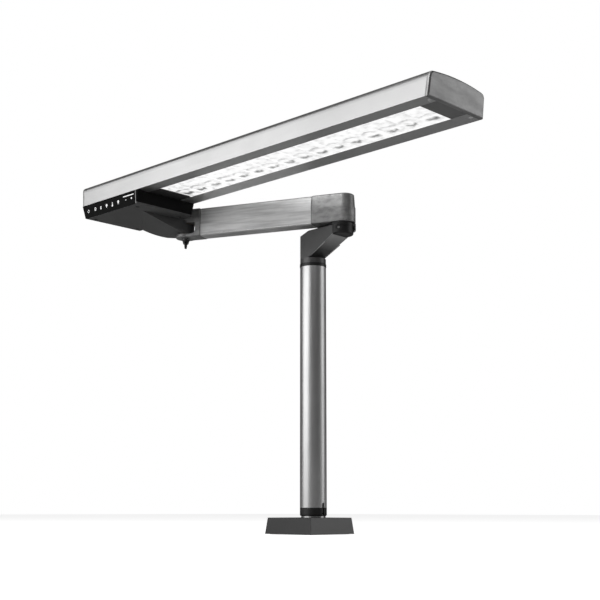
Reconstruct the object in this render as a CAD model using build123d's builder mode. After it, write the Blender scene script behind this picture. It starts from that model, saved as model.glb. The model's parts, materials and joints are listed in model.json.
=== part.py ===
from build123d import *
from math import cos, radians, sin
import os

# Articulated LED workplace lamp, millimetres, +Z up.
# The pole axis is the Z axis and the desk is z = 0. The lamp head lies along X, its touch panel faces -Y.
# Bodies, from the desk up: stand, elbow, arm, head, wing (the clamp nut under the front joint).

os.makedirs("parts", exist_ok=True)

# ---------------------------------------------------------------- clearances
RUN = 0.05  # radial gap of a shaft that turns in its bush
SEAT = 0.04  # radial gap of a piece that is fixed in another
SEAM = 0.1  # flat gap between two pieces that are screwed together
CUT_REACH = 400.0  # side of a cut that runs past the whole part
SOFT_EDGE = 0.4  # broken edge of a small turned or moulded piece
JOINT_GAP = 0.3  # flat gap between two pieces that turn on each other

# ---------------------------------------------------------------- stand: foot and pole
BASE_FOOT = 82.4
BASE_TOP = 77.5
BASE_HEIGHT = 21.0
BASE_SHIFT = -7.0  # the foot's centre, in Y from the pole axis
BASE_RIM_Z = 0.4
BASE_WALL = 3.0
BASE_ROOF = 4.0
BASE_CORNER = 1.6
PAD_THICK = 1.5
PLATE_THICK = 6.0
PLATE_SIDE = 73.0
PLATE_TOP_Z = PAD_THICK + PLATE_THICK
BASE_SCREW_PITCH = 56.0
BASE_SCREW_R = 2.0
BASE_SCREW_HEAD_R = 4.0
BASE_SCREW_LENGTH = 12.5
BASE_BOSS_R = 4.5

POLE_R = 17.5
POLE_WALL = 2.0
POLE_BORE_R = POLE_R - POLE_WALL
RING_BOTTOM_Z = 22.9
RING_TOP_Z = 33.6
POLE_TOP_Z = 352.5
RING_ROUND = 2.0
SPIGOT_HUB_R = 12.0
SPIGOT_NECK_R = 15.9
SPIGOT_TOP_Z = 62.0
THREAD_R = 4.25  # tapping bore of the M10 desk bolt
THREAD_DEPTH = 45.0
CABLE_SLOT_W = 3.5
CABLE_SLOT_BOTTOM_Z = 24.5
CABLE_SLOT_TOP_Z = 40.0
CABLE_GROOVE_W = 7.0
CABLE_GROOVE_FLOOR = 9.0  # distance of the groove's floor from the pole axis
GRUB_R = 2.5
GRUB_Z = 50.0
GRUB_INNER = 9.0
GRUB_AZIMUTHS = (150.0, 210.0)

# ---------------------------------------------------------------- elbow: turns in the pole's top
BUSH_FLANGE_R = 17.9
BUSH_FLANGE_TOP_Z = 357.0
TOP_BUSH_BOTTOM_Z = 332.0
LOWER_BUSH_Z = (296.0, 308.0)
SPINDLE_R = 10.0
SPINDLE_BORE_R = 6.0
SPINDLE_Z = (288.5, 361.7)
CIRCLIP_Z = (292.0, 293.6)
CIRCLIP_GROOVE_R = 9.3
CIRCLIP_R = 12.6
CIRCLIP_OPENING = 40.0  # degrees
SPRING_WASHER_R = 14.4
SPRING_WASHER_RISE = 1.0

REACH = 52.0  # pole axis to rear pivot, along +X
BRACKET_BOTTOM_Z = BUSH_FLANGE_TOP_Z + JOINT_GAP
BRACKET_NECK_R = 17.4
BRACKET_NECK_TOP_Z = 363.7
BRACKET_HALF = 13.3  # half width of the web at the pole axis
BRACKET_WIDENING = 0.042  # growth of that half width per millimetre of reach
BRACKET_END_X = 50.0
BRACKET_SHOULDER_Z = 395.0
BRACKET_CREST_X = 3.0
BRACKET_TOP_Z = 402.0
BRACKET_SLOPE = 0.522  # rise of the slanted underside per millimetre of reach
BRACKET_SLOPE_X = 2.9  # where the underside leaves the neck
BRACKET_EYE_R = 12.5
BRACKET_BOSS_Z = 391.0
BRACKET_EDGE = 1.2
TROUGH_X = (-9.5, 46.0)
TROUGH_HALF = 4.5
TROUGH_Z = (389.0, 394.0)
LEAD_HOLE_X = -5.0  # hole that brings the leads from the spindle up to the trough
LID_X = (8.0, 36.0)
LID_HALF = 7.0
LID_THICK = 1.8

CUP_R = 16.0
CUP_FLANGE_R = 16.5
CUP_BOTTOM_Z = 389.0
CUP_FLOOR = 1.7
CUP_EDGE = 2.0
CUP_FLANGE_Z = 400.0
CUP_TOP_Z = 403.7
CUP_BORE_R = 14.2
CUP_MARGIN = 0.25
CUP_SCREW_AZIMUTH = -62.0
CUP_SCREW_Z = 396.6
CUP_SCREW_R = 1.5
CUP_RECESS = (8.5, 3.4, 0.9)  # width, height and depth of the recess round the cup's screw

GUARD_R = (16.9, 19.2)  # wall of the bracket that runs round the cup's far side
GUARD_Z = (395.0, 404.4)
GUARD_AZIMUTHS = (35.0, 128.0)

PIVOT_PIN_R = 6.0
PIVOT_PIN_BORE_R = 3.2
PIVOT_PIN_Z = (391.3, 436.0)
THRUST_WASHER_R = 11.3

# ---------------------------------------------------------------- arm
ARM_REACH = 231.8  # rear pivot to front pivot
ARM_AZIMUTH = 202.6
ARM_BOTTOM_Z = 405.0
ARM_TOP_Z = 444.3
ARM_CREASE_Z = 425.4  # height of the step that runs round the arm
BEAM_HALF = 10.8
BEAM_UPPER_HALF = 10.3
BEAM_TOP_HALF = 9.9
BEAM_BEVEL = 1.3
BEAM_BORE_HALF = 8.1
BEAM_FLOOR = 2.2
BEAM_START = 39.2
FORK_START = ARM_REACH - 27.4
TENON_LENGTH = 20.0

HOUSING_HALF = 15.0
HOUSING_END_X = -4.2  # centre of the rounded end, behind the pivot
HOUSING_FRONT_X = 39.0
HOUSING_FRONT_ROUND = 3.8
HOUSING_WALL = 2.6
HOUSING_FLOOR = 4.0
HOUSING_BOSS_R = 10.6
COVER_STEP = 0.6
COVER_TAPER = 3.4  # degrees
COVER_ROUND = 3.0
COVER_ROOF = 3.2
PIVOT_BUSH_R = 8.0
PIVOT_BUSH_LENGTH = 8.0
DISC_SPRING_R = 10.4
DISC_SPRING_THICK = 2.0
PIVOT_NUT_FLATS = 17.0
PIVOT_NUT_HEIGHT = 6.0
PLUG_R = 9.5
PLUG_SKIRT = 1.6
PLUG_SKIRT_R = 8.6
HOUSING_SCREW_SPOTS = ((27.0, 9.0), (27.0, -9.0), (-14.6, 0.0))
HOUSING_SCREW_R = 1.5
HOUSING_SCREW_HEAD_R = 2.8
HOUSING_SCREW_HEAD = 2.4
HOUSING_SCREW_LENGTH = 27.0
HOUSING_POST_R = 3.3

FORK_HALF = 12.3
FORK_EYE_R = 14.0
FORK_WEB_X = 20.0  # inner face of the web, from the front pivot
FORK_GAP_Z = (409.1, 425.3)
FORK_INNER_ROUND = 5.0
FORK_EDGE = 0.8
BOLT_R = 4.0
BOLT_HEAD_Z = 434.5
BOLT_HEAD_FLATS = 13.0
BOLT_HEAD = 5.5
BOLT_BOTTOM_Z = 399.6
BOLT_WELL_R = 8.4
FORK_CAP_THICK = 1.8
FORK_CAP_R = 12.4
FORK_CAP_CROWN_Z = 447.5
FORK_CAP_ROUND = 2.6

# ---------------------------------------------------------------- wing nut under the front joint
WING_WASHER_R = 6.2
WING_WASHER_Z = (403.1, 404.2)
WING_HUB_R = 5.2
WING_HUB_LOW_R = 3.6
WING_HUB_Z = (397.4, 403.0)
WING_TIP_Z = 392.5
WING_SPAN = 11.0  # tip of a wing from the axis
WING_ROOT = 5.0
WING_EDGE = 2.6
WING_THICK = (2.8, 5.8)  # at the tip and at the hub's top
WING_AZIMUTH = 141.0

# ---------------------------------------------------------------- head
HEAD_X = (-253.0, 353.5)  # bottom edge of the two end faces
HEAD_Y = (-201.8, -103.4)
HEAD_BOTTOM_Z = 447.0
HEAD_SIDE_Z = 474.0
HEAD_CROWN_Z = 477.7
HEAD_SIDE_LEAN = 1.2
HEAD_TOP_ROUND = 6.5
HEAD_WALL = 2.0
HEAD_RAKE = 4.2  # how far an end face's top stands out past its bottom edge
HEAD_OVERRUN = 8.4  # length that the ends' cut takes off each end of the section
CAP_THICK = 4.2
CAP_ROUND = 2.2
HEAD_MID_Y = (HEAD_Y[0] + HEAD_Y[1]) / 2
FLANGE_TOP_Z = HEAD_BOTTOM_Z + HEAD_WALL
WINDOW_Y = (-182.0, -128.0)
WINDOW_X = (-106.5, 327.8)
CAP_SCREW_INSET = 8.0
CAP_SCREW_Y = (-188.8, -116.2)
CAP_SCREW_R = 1.5
CAP_SCREW_HEAD_R = 2.7
CAP_SCREW_HEAD = 1.4
CAP_SCREW_LENGTH = 7.0
CAP_LUG = (10.0, 9.0, 8.0)

LENS_SIDE = 4.2  # how far the lens plate lies over each flange
FILLER_LIP = 1.8  # the same for the two fillers
LENS_END = 2.5
LENS_THICK = 2.0
LENS_BOTTOM_Z = FLANGE_TOP_Z + SEAM
LENS_TOP_Z = LENS_BOTTOM_Z + LENS_THICK
LENS_PAD_Z = HEAD_BOTTOM_Z + SEAM  # face of the pad that fills the window, almost flush with the flanges
CELL_COUNT = 16
CELL_PITCH = (WINDOW_X[1] - WINDOW_X[0]) / CELL_COUNT
CELL_MID_Y = (WINDOW_Y[0] + WINDOW_Y[1]) / 2
DOME_R = 12.4
DOME_HEIGHT = 4.6
CHIP_SIDE = 5.0
CHIP_THICK = 0.9
TRAY_ROOF_Z = 460.5
TRAY_SKIN = 1.4
TRAY_INSET = 0.6
BOARD_THICK = 1.6
BOARD_HALF = 17.0
BOARD_END = 2.8
SPREADER_THICK = 2.5
SPREADER_HALF = 27.0

# ---------------------------------------------------------------- control box under the head
BOX_TOP = (-253.0, -129.0, -201.5, -103.6)  # x low, x high, y low, y high at the head's underside
BOX_FOOT = (-247.0, -131.8, -200.0, -105.5)  # the same at the box's underside
BOX_TOP_Z = HEAD_BOTTOM_Z - SEAM
BOX_FOOT_Z = 428.8
BOX_WALL = 2.2
COVER_PLATE_TOP_Z = 431.0
BOX_SCREW_X = (-240.0, -146.0)
BOX_SCREW_Y = (-187.4, -114.7)
BOX_RECESS_R = 2.7
BOX_RECESS_DEPTH = 3.4
BOX_SCREW_R = 1.5
BOX_SCREW_HEAD = 1.8
BOX_SCREW_LENGTH = 9.0
BOX_POST_R = 4.2
BOX_POST_TOP_Z = 435.0
PANEL_THICK = 1.4
TRIM_WIDTH = 0.9
TRIM_END = 1.2  # bare housing left of the panel's bright end trim
TOUCH_BOARD = (98.0, 1.6, 10.5)
TOUCH_BOARD_BACK = 6.0  # board's middle behind the panel face
DRIVER_BOARD = (112.0, 70.0, 1.6)
DRIVER_BOARD_Z = 455.0
DRIVER_MID_X = -175.0
STANDOFF_R = 3.0
STANDOFF_PITCH = (100.0, 44.0)
COIL = (24.0, 22.0, 13.0)
COIL_SPOT = (18.0, 8.0)
CAPACITOR_R = 5.5
CAPACITOR_HEIGHT = 14.0
CAPACITOR_SPOTS = ((-28.0, 12.0), (-28.0, -6.0), (-10.0, -20.0))

# fairing and tongue that carry the head on the front pivot
KNUCKLE_R = 11.6
KNUCKLE_Z = (410.2, 424.2)
KNUCKLE_BUSH_R = 6.0
KNUCKLE_WASHER_R = 10.4
RELIEF_R = 16.0  # hollow in the box's far wall that the fork's eye turns in
RELIEF_SKIN = 2.0
RELIEF_FAR_R = 22.0  # the same in the fairing's far side, which the fork's web sweeps past
FAIRING_STEPS = (0.0, 0.15, 0.33, 0.5, 0.7, 0.85, 1.0)
FAIRING_RIDGE_START = (-156.0, -171.0)
FAIRING_RIDGE_END = (-154.0, -99.0)
FAIRING_EDGE_AZIMUTH = 19.5
FAIRING_EDGE_LENGTH = 79.0  # far corner to the knuckle's tangent point
FAIRING_EDGE_FALL = 62.0  # length of it along which the fairing drops to full depth
FAIRING_EASE = 1.7
FAIRING_ROOT_Y = -93.0

# ---------------------------------------------------------------- places worked out from the above
BOTTOM = (Align.CENTER, Align.CENTER, Align.MIN)
ARM_DIR = (cos(radians(ARM_AZIMUTH)), sin(radians(ARM_AZIMUTH)))
FRONT_X = REACH + ARM_REACH * ARM_DIR[0]
FRONT_Y = ARM_REACH * ARM_DIR[1]


def arm_plane(height):
    """Horizontal plane with its origin on the rear pivot and its x axis towards the front pivot."""
    return Plane(origin=(REACH, 0, height), x_dir=(*ARM_DIR, 0), z_dir=(0, 0, 1))


def arm_section(distance):
    """Upright plane across the arm, at a distance from the rear pivot: x is sideways, y is up."""
    spot = (REACH + distance * ARM_DIR[0], distance * ARM_DIR[1], 0)
    return Plane(origin=spot, x_dir=(-ARM_DIR[1], ARM_DIR[0], 0), z_dir=(*ARM_DIR, 0))


def arm_side():
    """Upright plane along the arm: x runs from the rear to the front pivot, y is up."""
    return Plane(origin=(REACH, 0, 0), x_dir=(*ARM_DIR, 0), z_dir=(ARM_DIR[1], -ARM_DIR[0], 0))


def radial_plane(centre, azimuth, height):
    """Upright plane through a vertical axis, facing outwards along an azimuth."""
    outward = (cos(radians(azimuth)), sin(radians(azimuth)), 0)
    sideways = (-outward[1], outward[0], 0)
    return Plane(origin=(*centre, height), x_dir=sideways, z_dir=outward)


def tube(outer, inner, bottom, top, centre=(0, 0)):
    """Upright tube as a part; an inner radius of zero gives a solid rod."""
    with BuildPart() as piece:
        with BuildSketch(Plane.XY.offset(bottom)):
            with Locations(centre):
                Circle(outer)
                if inner:
                    Circle(inner, mode=Mode.SUBTRACT)
        extrude(amount=top - bottom)
    return piece.part


# ================================================================ stand
base_screw_half = BASE_SCREW_PITCH / 2
base_screw_spots = [
    (sx * base_screw_half, BASE_SHIFT + sy * base_screw_half) for sx in (-1, 1) for sy in (-1, 1)
]

with BuildPart() as base_cover:
    with BuildSketch(Plane.XY.offset(BASE_RIM_Z)):
        with Locations((0, BASE_SHIFT)):
            RectangleRounded(BASE_FOOT, BASE_FOOT, BASE_CORNER)
    with BuildSketch(Plane.XY.offset(BASE_HEIGHT)):
        with Locations((0, BASE_SHIFT)):
            RectangleRounded(BASE_TOP, BASE_TOP, BASE_CORNER)
    loft()
    fillet(base_cover.faces().sort_by(Axis.Z)[-1].edges(), radius=BASE_CORNER / 2)
    with BuildSketch(Plane.XY.offset(BASE_RIM_Z)):
        with Locations((0, BASE_SHIFT)):
            Rectangle(BASE_FOOT - 2 * BASE_WALL, BASE_FOOT - 2 * BASE_WALL)
    with BuildSketch(Plane.XY.offset(BASE_HEIGHT - BASE_ROOF)):
        with Locations((0, BASE_SHIFT)):
            Rectangle(BASE_TOP - 2 * BASE_WALL, BASE_TOP - 2 * BASE_WALL)
    loft(mode=Mode.SUBTRACT)
    with BuildSketch(Plane.XY.offset(PLATE_TOP_Z + SEAM)):
        with Locations(*base_screw_spots):
            Circle(BASE_BOSS_R)
            Circle(BASE_SCREW_R + SEAT, mode=Mode.SUBTRACT)
    extrude(amount=BASE_HEIGHT - BASE_ROOF - PLATE_TOP_Z)
    with BuildSketch(Plane.XY.offset(BASE_HEIGHT)):
        Circle(SPIGOT_NECK_R + SEAT)
    extrude(amount=-BASE_ROOF - SEAM, mode=Mode.SUBTRACT)
base_cover.part.label = "base_cover"
export_step(base_cover.part, "parts/base_cover.step")

with BuildPart() as base_plate:
    with BuildSketch(Plane.XY.offset(PAD_THICK)):
        with Locations((0, BASE_SHIFT)):
            RectangleRounded(PLATE_SIDE, PLATE_SIDE, BASE_CORNER)
        Circle(SPIGOT_HUB_R + SEAT, mode=Mode.SUBTRACT)
    extrude(amount=PLATE_THICK)
    with Locations(*[Location((x, y, PAD_THICK), (180, 0, 0)) for x, y in base_screw_spots]):
        CounterSinkHole(BASE_SCREW_R + SEAT, BASE_SCREW_HEAD_R + SEAT, depth=PLATE_THICK)
base_plate.part.label = "base_plate"
export_step(base_plate.part, "parts/base_plate.step")

with BuildPart() as base_pad:
    with BuildSketch():
        with Locations((0, BASE_SHIFT)):
            RectangleRounded(PLATE_SIDE, PLATE_SIDE, BASE_CORNER)
        Circle(SPIGOT_HUB_R + SEAT, mode=Mode.SUBTRACT)
        with Locations(*base_screw_spots):
            Circle(BASE_BOSS_R, mode=Mode.SUBTRACT)
    extrude(amount=PAD_THICK)
base_pad.part.label = "base_pad"
export_step(base_pad.part, "parts/base_pad.step")

with BuildPart() as base_screws:
    head_height = BASE_SCREW_HEAD_R - BASE_SCREW_R
    with Locations(*[(x, y, PAD_THICK) for x, y in base_screw_spots]):
        Cone(BASE_SCREW_HEAD_R, BASE_SCREW_R, head_height, align=BOTTOM)
    with Locations(*[(x, y, PAD_THICK + head_height) for x, y in base_screw_spots]):
        Cylinder(BASE_SCREW_R, BASE_SCREW_LENGTH - head_height, align=BOTTOM)
base_screws.part.label = "base_screws"
export_step(base_screws.part, "parts/base_screws.step")

with BuildPart() as pole_spigot:
    Cylinder(SPIGOT_HUB_R, PLATE_TOP_Z, align=BOTTOM)
    with Locations((0, 0, PLATE_TOP_Z)):
        Cylinder(SPIGOT_NECK_R, RING_BOTTOM_Z - PLATE_TOP_Z, align=BOTTOM)
    with Locations((0, 0, RING_BOTTOM_Z)):
        Cylinder(POLE_BORE_R - 2 * SEAT, SPIGOT_TOP_Z - RING_BOTTOM_Z, align=BOTTOM)
    Cylinder(THREAD_R, THREAD_DEPTH, align=BOTTOM, mode=Mode.SUBTRACT)
    with BuildSketch(Plane.XY.offset(CABLE_SLOT_BOTTOM_Z)):
        with Locations(((CABLE_GROOVE_FLOOR + POLE_R) / 2, 0)):
            Rectangle(POLE_R - CABLE_GROOVE_FLOOR, CABLE_GROOVE_W)
    extrude(amount=SPIGOT_TOP_Z - CABLE_SLOT_BOTTOM_Z, mode=Mode.SUBTRACT)
    for azimuth in GRUB_AZIMUTHS:
        with BuildSketch(radial_plane((0, 0), azimuth, GRUB_Z).offset(GRUB_INNER)):
            Circle(GRUB_R + SEAT)
        extrude(amount=POLE_R, mode=Mode.SUBTRACT)
pole_spigot.part.label = "pole_spigot"
export_step(pole_spigot.part, "parts/pole_spigot.step")

with BuildPart() as foot_ring:
    with BuildSketch(Plane.XY.offset(RING_BOTTOM_Z)):
        Circle(POLE_R)
        Circle(POLE_BORE_R, mode=Mode.SUBTRACT)
    extrude(amount=RING_TOP_Z - RING_BOTTOM_Z)
    outer_rim = foot_ring.edges().filter_by(GeomType.CIRCLE).group_by(Axis.Z)[0].sort_by(SortBy.RADIUS)[-1]
    fillet(outer_rim, radius=POLE_WALL - RUN)
    with BuildSketch(Plane.YZ):
        with Locations((0, (CABLE_SLOT_BOTTOM_Z + RING_TOP_Z) / 2)):
            Rectangle(CABLE_SLOT_W, RING_TOP_Z - CABLE_SLOT_BOTTOM_Z)
    extrude(amount=POLE_R, mode=Mode.SUBTRACT)
foot_ring.part.label = "foot_ring"
export_step(foot_ring.part, "parts/foot_ring.step")

with BuildPart() as pole_tube:
    with BuildSketch(Plane.XY.offset(RING_TOP_Z)):
        Circle(POLE_R)
        Circle(POLE_BORE_R, mode=Mode.SUBTRACT)
    extrude(amount=POLE_TOP_Z - RING_TOP_Z)
    slot_round_z = CABLE_SLOT_TOP_Z - CABLE_SLOT_W / 2
    with BuildSketch(Plane.YZ):
        with Locations((0, (RING_TOP_Z + slot_round_z) / 2)):
            Rectangle(CABLE_SLOT_W, slot_round_z - RING_TOP_Z)
        with Locations((0, slot_round_z)):
            Circle(CABLE_SLOT_W / 2)
    extrude(amount=POLE_R, mode=Mode.SUBTRACT)
    for azimuth in GRUB_AZIMUTHS:
        with BuildSketch(radial_plane((0, 0), azimuth, GRUB_Z)):
            Circle(GRUB_R + SEAT)
        extrude(amount=POLE_R, mode=Mode.SUBTRACT)
pole_tube.part.label = "pole_tube"
export_step(pole_tube.part, "parts/pole_tube.step")

with BuildPart() as pole_grub_screws:
    for azimuth in GRUB_AZIMUTHS:
        with BuildSketch(radial_plane((0, 0), azimuth, GRUB_Z).offset(GRUB_INNER)):
            Circle(GRUB_R)
        extrude(amount=POLE_BORE_R - GRUB_INNER + POLE_WALL / 2)
        with BuildSketch(radial_plane((0, 0), azimuth, GRUB_Z).offset(POLE_BORE_R)):
            RegularPolygon(GRUB_R / 2, 6)
        extrude(amount=POLE_WALL, mode=Mode.SUBTRACT)
pole_grub_screws.part.label = "pole_grub_screws"
export_step(pole_grub_screws.part, "parts/pole_grub_screws.step")

with BuildPart() as pole_top_bush:
    add(tube(POLE_BORE_R - SEAT, SPINDLE_R + RUN, TOP_BUSH_BOTTOM_Z, POLE_TOP_Z))
    add(tube(BUSH_FLANGE_R, SPINDLE_R + RUN, POLE_TOP_Z, BUSH_FLANGE_TOP_Z))
    fillet(pole_top_bush.edges().filter_by(GeomType.CIRCLE).sort_by(SortBy.RADIUS)[-2:], radius=SOFT_EDGE)
pole_top_bush.part.label = "pole_top_bush"
export_step(pole_top_bush.part, "parts/pole_top_bush.step")

pole_lower_bush = tube(POLE_BORE_R - SEAT, SPINDLE_R + RUN, *LOWER_BUSH_Z)
pole_lower_bush.label = "pole_lower_bush"
export_step(pole_lower_bush, "parts/pole_lower_bush.step")

# ================================================================ elbow
with BuildPart() as elbow_spindle:
    add(tube(SPINDLE_R, SPINDLE_BORE_R, *SPINDLE_Z))
    with BuildSketch(Plane.XY.offset(CIRCLIP_Z[0])):
        Circle(POLE_R)
        Circle(CIRCLIP_GROOVE_R, mode=Mode.SUBTRACT)
    extrude(amount=CIRCLIP_Z[1] - CIRCLIP_Z[0], mode=Mode.SUBTRACT)
elbow_spindle.part.label = "elbow_spindle"
export_step(elbow_spindle.part, "parts/elbow_spindle.step")

with BuildPart() as elbow_circlip:
    with BuildSketch(Plane.XZ):
        with Locations(((CIRCLIP_GROOVE_R + SEAT + CIRCLIP_R) / 2, sum(CIRCLIP_Z) / 2)):
            Rectangle(CIRCLIP_R - CIRCLIP_GROOVE_R - SEAT, CIRCLIP_Z[1] - CIRCLIP_Z[0] - 2 * SEAT)
    revolve(axis=Axis.Z, revolution_arc=360 - CIRCLIP_OPENING)
elbow_circlip.part.label = "elbow_circlip"
export_step(elbow_circlip.part, "parts/elbow_circlip.step")

# dished spring washer between the circlip and the lower bush: it gives the swivel its friction
with BuildPart() as elbow_spring_washer:
    washer_bottom = CIRCLIP_Z[1] + SEAM
    washer_top = LOWER_BUSH_Z[0] - SEAM
    with BuildSketch(Plane.XZ):
        with BuildLine():
            Polyline(
                (SPINDLE_R + RUN, washer_bottom),
                (SPRING_WASHER_R, washer_bottom + SPRING_WASHER_RISE),
                (SPRING_WASHER_R, washer_top),
                (SPINDLE_R + RUN, washer_top - SPRING_WASHER_RISE),
                close=True,
            )
        make_face()
    revolve(axis=Axis.Z)
elbow_spring_washer.part.label = "elbow_spring_washer"
export_step(elbow_spring_washer.part, "parts/elbow_spring_washer.step")


def underside_z(x):
    """Height of the bracket's slanted underside."""
    return BRACKET_NECK_TOP_Z + BRACKET_SLOPE * (x - BRACKET_SLOPE_X)


def web_plan(height, start, end, margin=0.0):
    """Plan of the bracket's web between two X values: it widens outwards."""
    start_half = BRACKET_HALF + BRACKET_WIDENING * start + margin
    end_half = BRACKET_HALF + BRACKET_WIDENING * end + margin
    with BuildSketch(Plane.XY.offset(height)) as plan:
        with BuildLine():
            Polyline((start, -start_half), (end, -end_half), (end, end_half), (start, start_half), close=True)
        make_face()
    return plan.sketch


def box_between(x_range, half, z_range):
    """Plain block between two X values and two heights, a half width either side of the X axis."""
    with BuildPart() as block:
        with BuildSketch(Plane.XY.offset(z_range[0])):
            with Locations((sum(x_range) / 2, 0)):
                Rectangle(x_range[1] - x_range[0], 2 * half)
        extrude(amount=z_range[1] - z_range[0])
    return block.part


bracket_height = BRACKET_TOP_Z - BRACKET_BOTTOM_Z
with BuildPart() as elbow_bracket:
    with BuildSketch(Plane.XZ):
        with BuildLine():
            Polyline(
                (-BRACKET_NECK_R, BRACKET_BOTTOM_Z),
                (-BRACKET_NECK_R, BRACKET_SHOULDER_Z),
                (BRACKET_CREST_X, BRACKET_TOP_Z),
                (BRACKET_END_X, BRACKET_TOP_Z),
                (BRACKET_END_X, underside_z(BRACKET_END_X)),
                (BRACKET_SLOPE_X, BRACKET_NECK_TOP_Z),
                (BRACKET_SLOPE_X, BRACKET_BOTTOM_Z),
                close=True,
            )
        make_face()
    extrude(amount=BRACKET_NECK_R, both=True)
    extrude(
        web_plan(BRACKET_BOTTOM_Z, -BRACKET_NECK_R, BRACKET_END_X),
        amount=bracket_height,
        mode=Mode.INTERSECT,
    )
    for side_face in (elbow_bracket.faces().sort_by(Axis.Y)[0], elbow_bracket.faces().sort_by(Axis.Y)[-1]):
        chamfer(side_face.edges().filter_by(lambda e: e.length > BRACKET_NECK_R), length=BRACKET_EDGE)
    with BuildSketch(Plane.XY.offset(BRACKET_BOTTOM_Z)):
        Circle(BRACKET_NECK_R)
        with Locations((BRACKET_END_X / 2, 0)):
            Rectangle(BRACKET_END_X, 2 * BRACKET_NECK_R)
    extrude(amount=bracket_height, mode=Mode.INTERSECT)
    add(tube(BRACKET_NECK_R, 0, BRACKET_BOTTOM_Z, BRACKET_NECK_TOP_Z))
    add(tube(BRACKET_EYE_R, 0, BRACKET_BOSS_Z, BRACKET_TOP_Z, (REACH, 0)))
    with BuildSketch(Plane.XY.offset(GUARD_Z[0])):
        with BuildLine():
            guard_arc = GUARD_AZIMUTHS[1] - GUARD_AZIMUTHS[0]
            inner_arc = CenterArc((REACH, 0), GUARD_R[0], GUARD_AZIMUTHS[0], guard_arc)
            outer_arc = CenterArc((REACH, 0), GUARD_R[1], GUARD_AZIMUTHS[0], guard_arc)
            Line(inner_arc @ 0, outer_arc @ 0)
            Line(inner_arc @ 1, outer_arc @ 1)
        make_face()
    extrude(amount=GUARD_Z[1] - GUARD_Z[0])
    add(tube(SPINDLE_R + SEAT, 0, BRACKET_BOTTOM_Z, SPINDLE_Z[1] + SEAM), mode=Mode.SUBTRACT)
    add(tube(TROUGH_HALF, 0, SPINDLE_Z[1], TROUGH_Z[1], (LEAD_HOLE_X, 0)), mode=Mode.SUBTRACT)
    add(tube(PIVOT_PIN_R + SEAT, 0, BRACKET_BOSS_Z, BRACKET_TOP_Z, (REACH, 0)), mode=Mode.SUBTRACT)
    add(box_between(TROUGH_X, TROUGH_HALF, TROUGH_Z), mode=Mode.SUBTRACT)
    lid_opening = (LID_X[0] + LID_THICK, LID_X[1] - LID_THICK)
    add(box_between(lid_opening, TROUGH_HALF, (TROUGH_Z[0], BRACKET_TOP_Z)), mode=Mode.SUBTRACT)
    add(box_between(LID_X, LID_HALF, (BRACKET_TOP_Z - LID_THICK, BRACKET_TOP_Z)), mode=Mode.SUBTRACT)
elbow_bracket.part.label = "elbow_bracket"
export_step(elbow_bracket.part, "parts/elbow_bracket.step")

with BuildPart() as elbow_lid:
    with BuildSketch(Plane.XY.offset(BRACKET_TOP_Z - LID_THICK)):
        with Locations((sum(LID_X) / 2, 0)):
            Rectangle(LID_X[1] - LID_X[0] - 2 * SEAM, 2 * (LID_HALF - SEAM))
    extrude(amount=LID_THICK)
    chamfer(elbow_lid.faces().sort_by(Axis.Z)[-1].edges(), length=SOFT_EDGE)
elbow_lid.part.label = "elbow_lid"
export_step(elbow_lid.part, "parts/elbow_lid.step")

# the space the bracket needs inside the cup: its eye, its boss and its slanted web
with BuildPart() as cup_hollow:
    hollow_end = BRACKET_END_X + CUP_MARGIN
    with BuildSketch(Plane.XZ):
        with BuildLine():
            Polyline(
                (0, underside_z(0) - CUP_MARGIN),
                (hollow_end, underside_z(hollow_end) - CUP_MARGIN),
                (hollow_end, BRACKET_TOP_Z + CUP_MARGIN),
                (0, BRACKET_TOP_Z + CUP_MARGIN),
                close=True,
            )
        make_face()
    extrude(amount=CUP_FLANGE_R + CUP_MARGIN, both=True)
    add(tube(CUP_BORE_R, 0, CUP_BOTTOM_Z + CUP_FLOOR, CUP_TOP_Z, (REACH, 0)))

cup_recess_width, cup_recess_height, cup_recess_depth = CUP_RECESS
with BuildPart() as pivot_cup:
    add(tube(CUP_R, 0, CUP_BOTTOM_Z, CUP_FLANGE_Z, (REACH, 0)))
    fillet(pivot_cup.edges().group_by(Axis.Z)[0], radius=CUP_EDGE)
    add(tube(CUP_FLANGE_R, 0, CUP_FLANGE_Z, CUP_TOP_Z, (REACH, 0)))
    add(cup_hollow.part, mode=Mode.SUBTRACT)
    cup_side = radial_plane((REACH, 0), CUP_SCREW_AZIMUTH, CUP_SCREW_Z)
    with BuildSketch(cup_side.offset(CUP_R - cup_recess_depth)):
        RectangleRounded(cup_recess_width, cup_recess_height, CUP_SCREW_R)
    extrude(amount=CUP_R, mode=Mode.SUBTRACT)
    with BuildSketch(cup_side):
        Circle(CUP_SCREW_R + SEAT)
    extrude(amount=CUP_R, mode=Mode.SUBTRACT)
pivot_cup.part.label = "pivot_cup"
export_step(pivot_cup.part, "parts/pivot_cup.step")

with BuildPart() as cup_screw:
    with BuildSketch(cup_side.offset(BRACKET_EYE_R + CUP_MARGIN)):
        Circle(CUP_SCREW_R)
    extrude(amount=CUP_R - cup_recess_depth - BRACKET_EYE_R - CUP_MARGIN)
    with BuildSketch(cup_side.offset(CUP_R - cup_recess_depth - CUP_SCREW_R / 2)):
        RegularPolygon(CUP_SCREW_R / 2, 6)
    extrude(amount=CUP_SCREW_R, mode=Mode.SUBTRACT)
cup_screw.part.label = "cup_screw"
export_step(cup_screw.part, "parts/cup_screw.step")

pivot_pin = tube(PIVOT_PIN_R, PIVOT_PIN_BORE_R, *PIVOT_PIN_Z, (REACH, 0))
pivot_pin.label = "pivot_pin"
export_step(pivot_pin, "parts/pivot_pin.step")

washer_z = (BRACKET_TOP_Z + SEAT, ARM_BOTTOM_Z - SEAM)
pivot_thrust_washer = tube(THRUST_WASHER_R, PIVOT_PIN_R + SEAT, *washer_z, (REACH, 0))
pivot_thrust_washer.label = "pivot_thrust_washer"
export_step(pivot_thrust_washer, "parts/pivot_thrust_washer.step")

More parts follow.
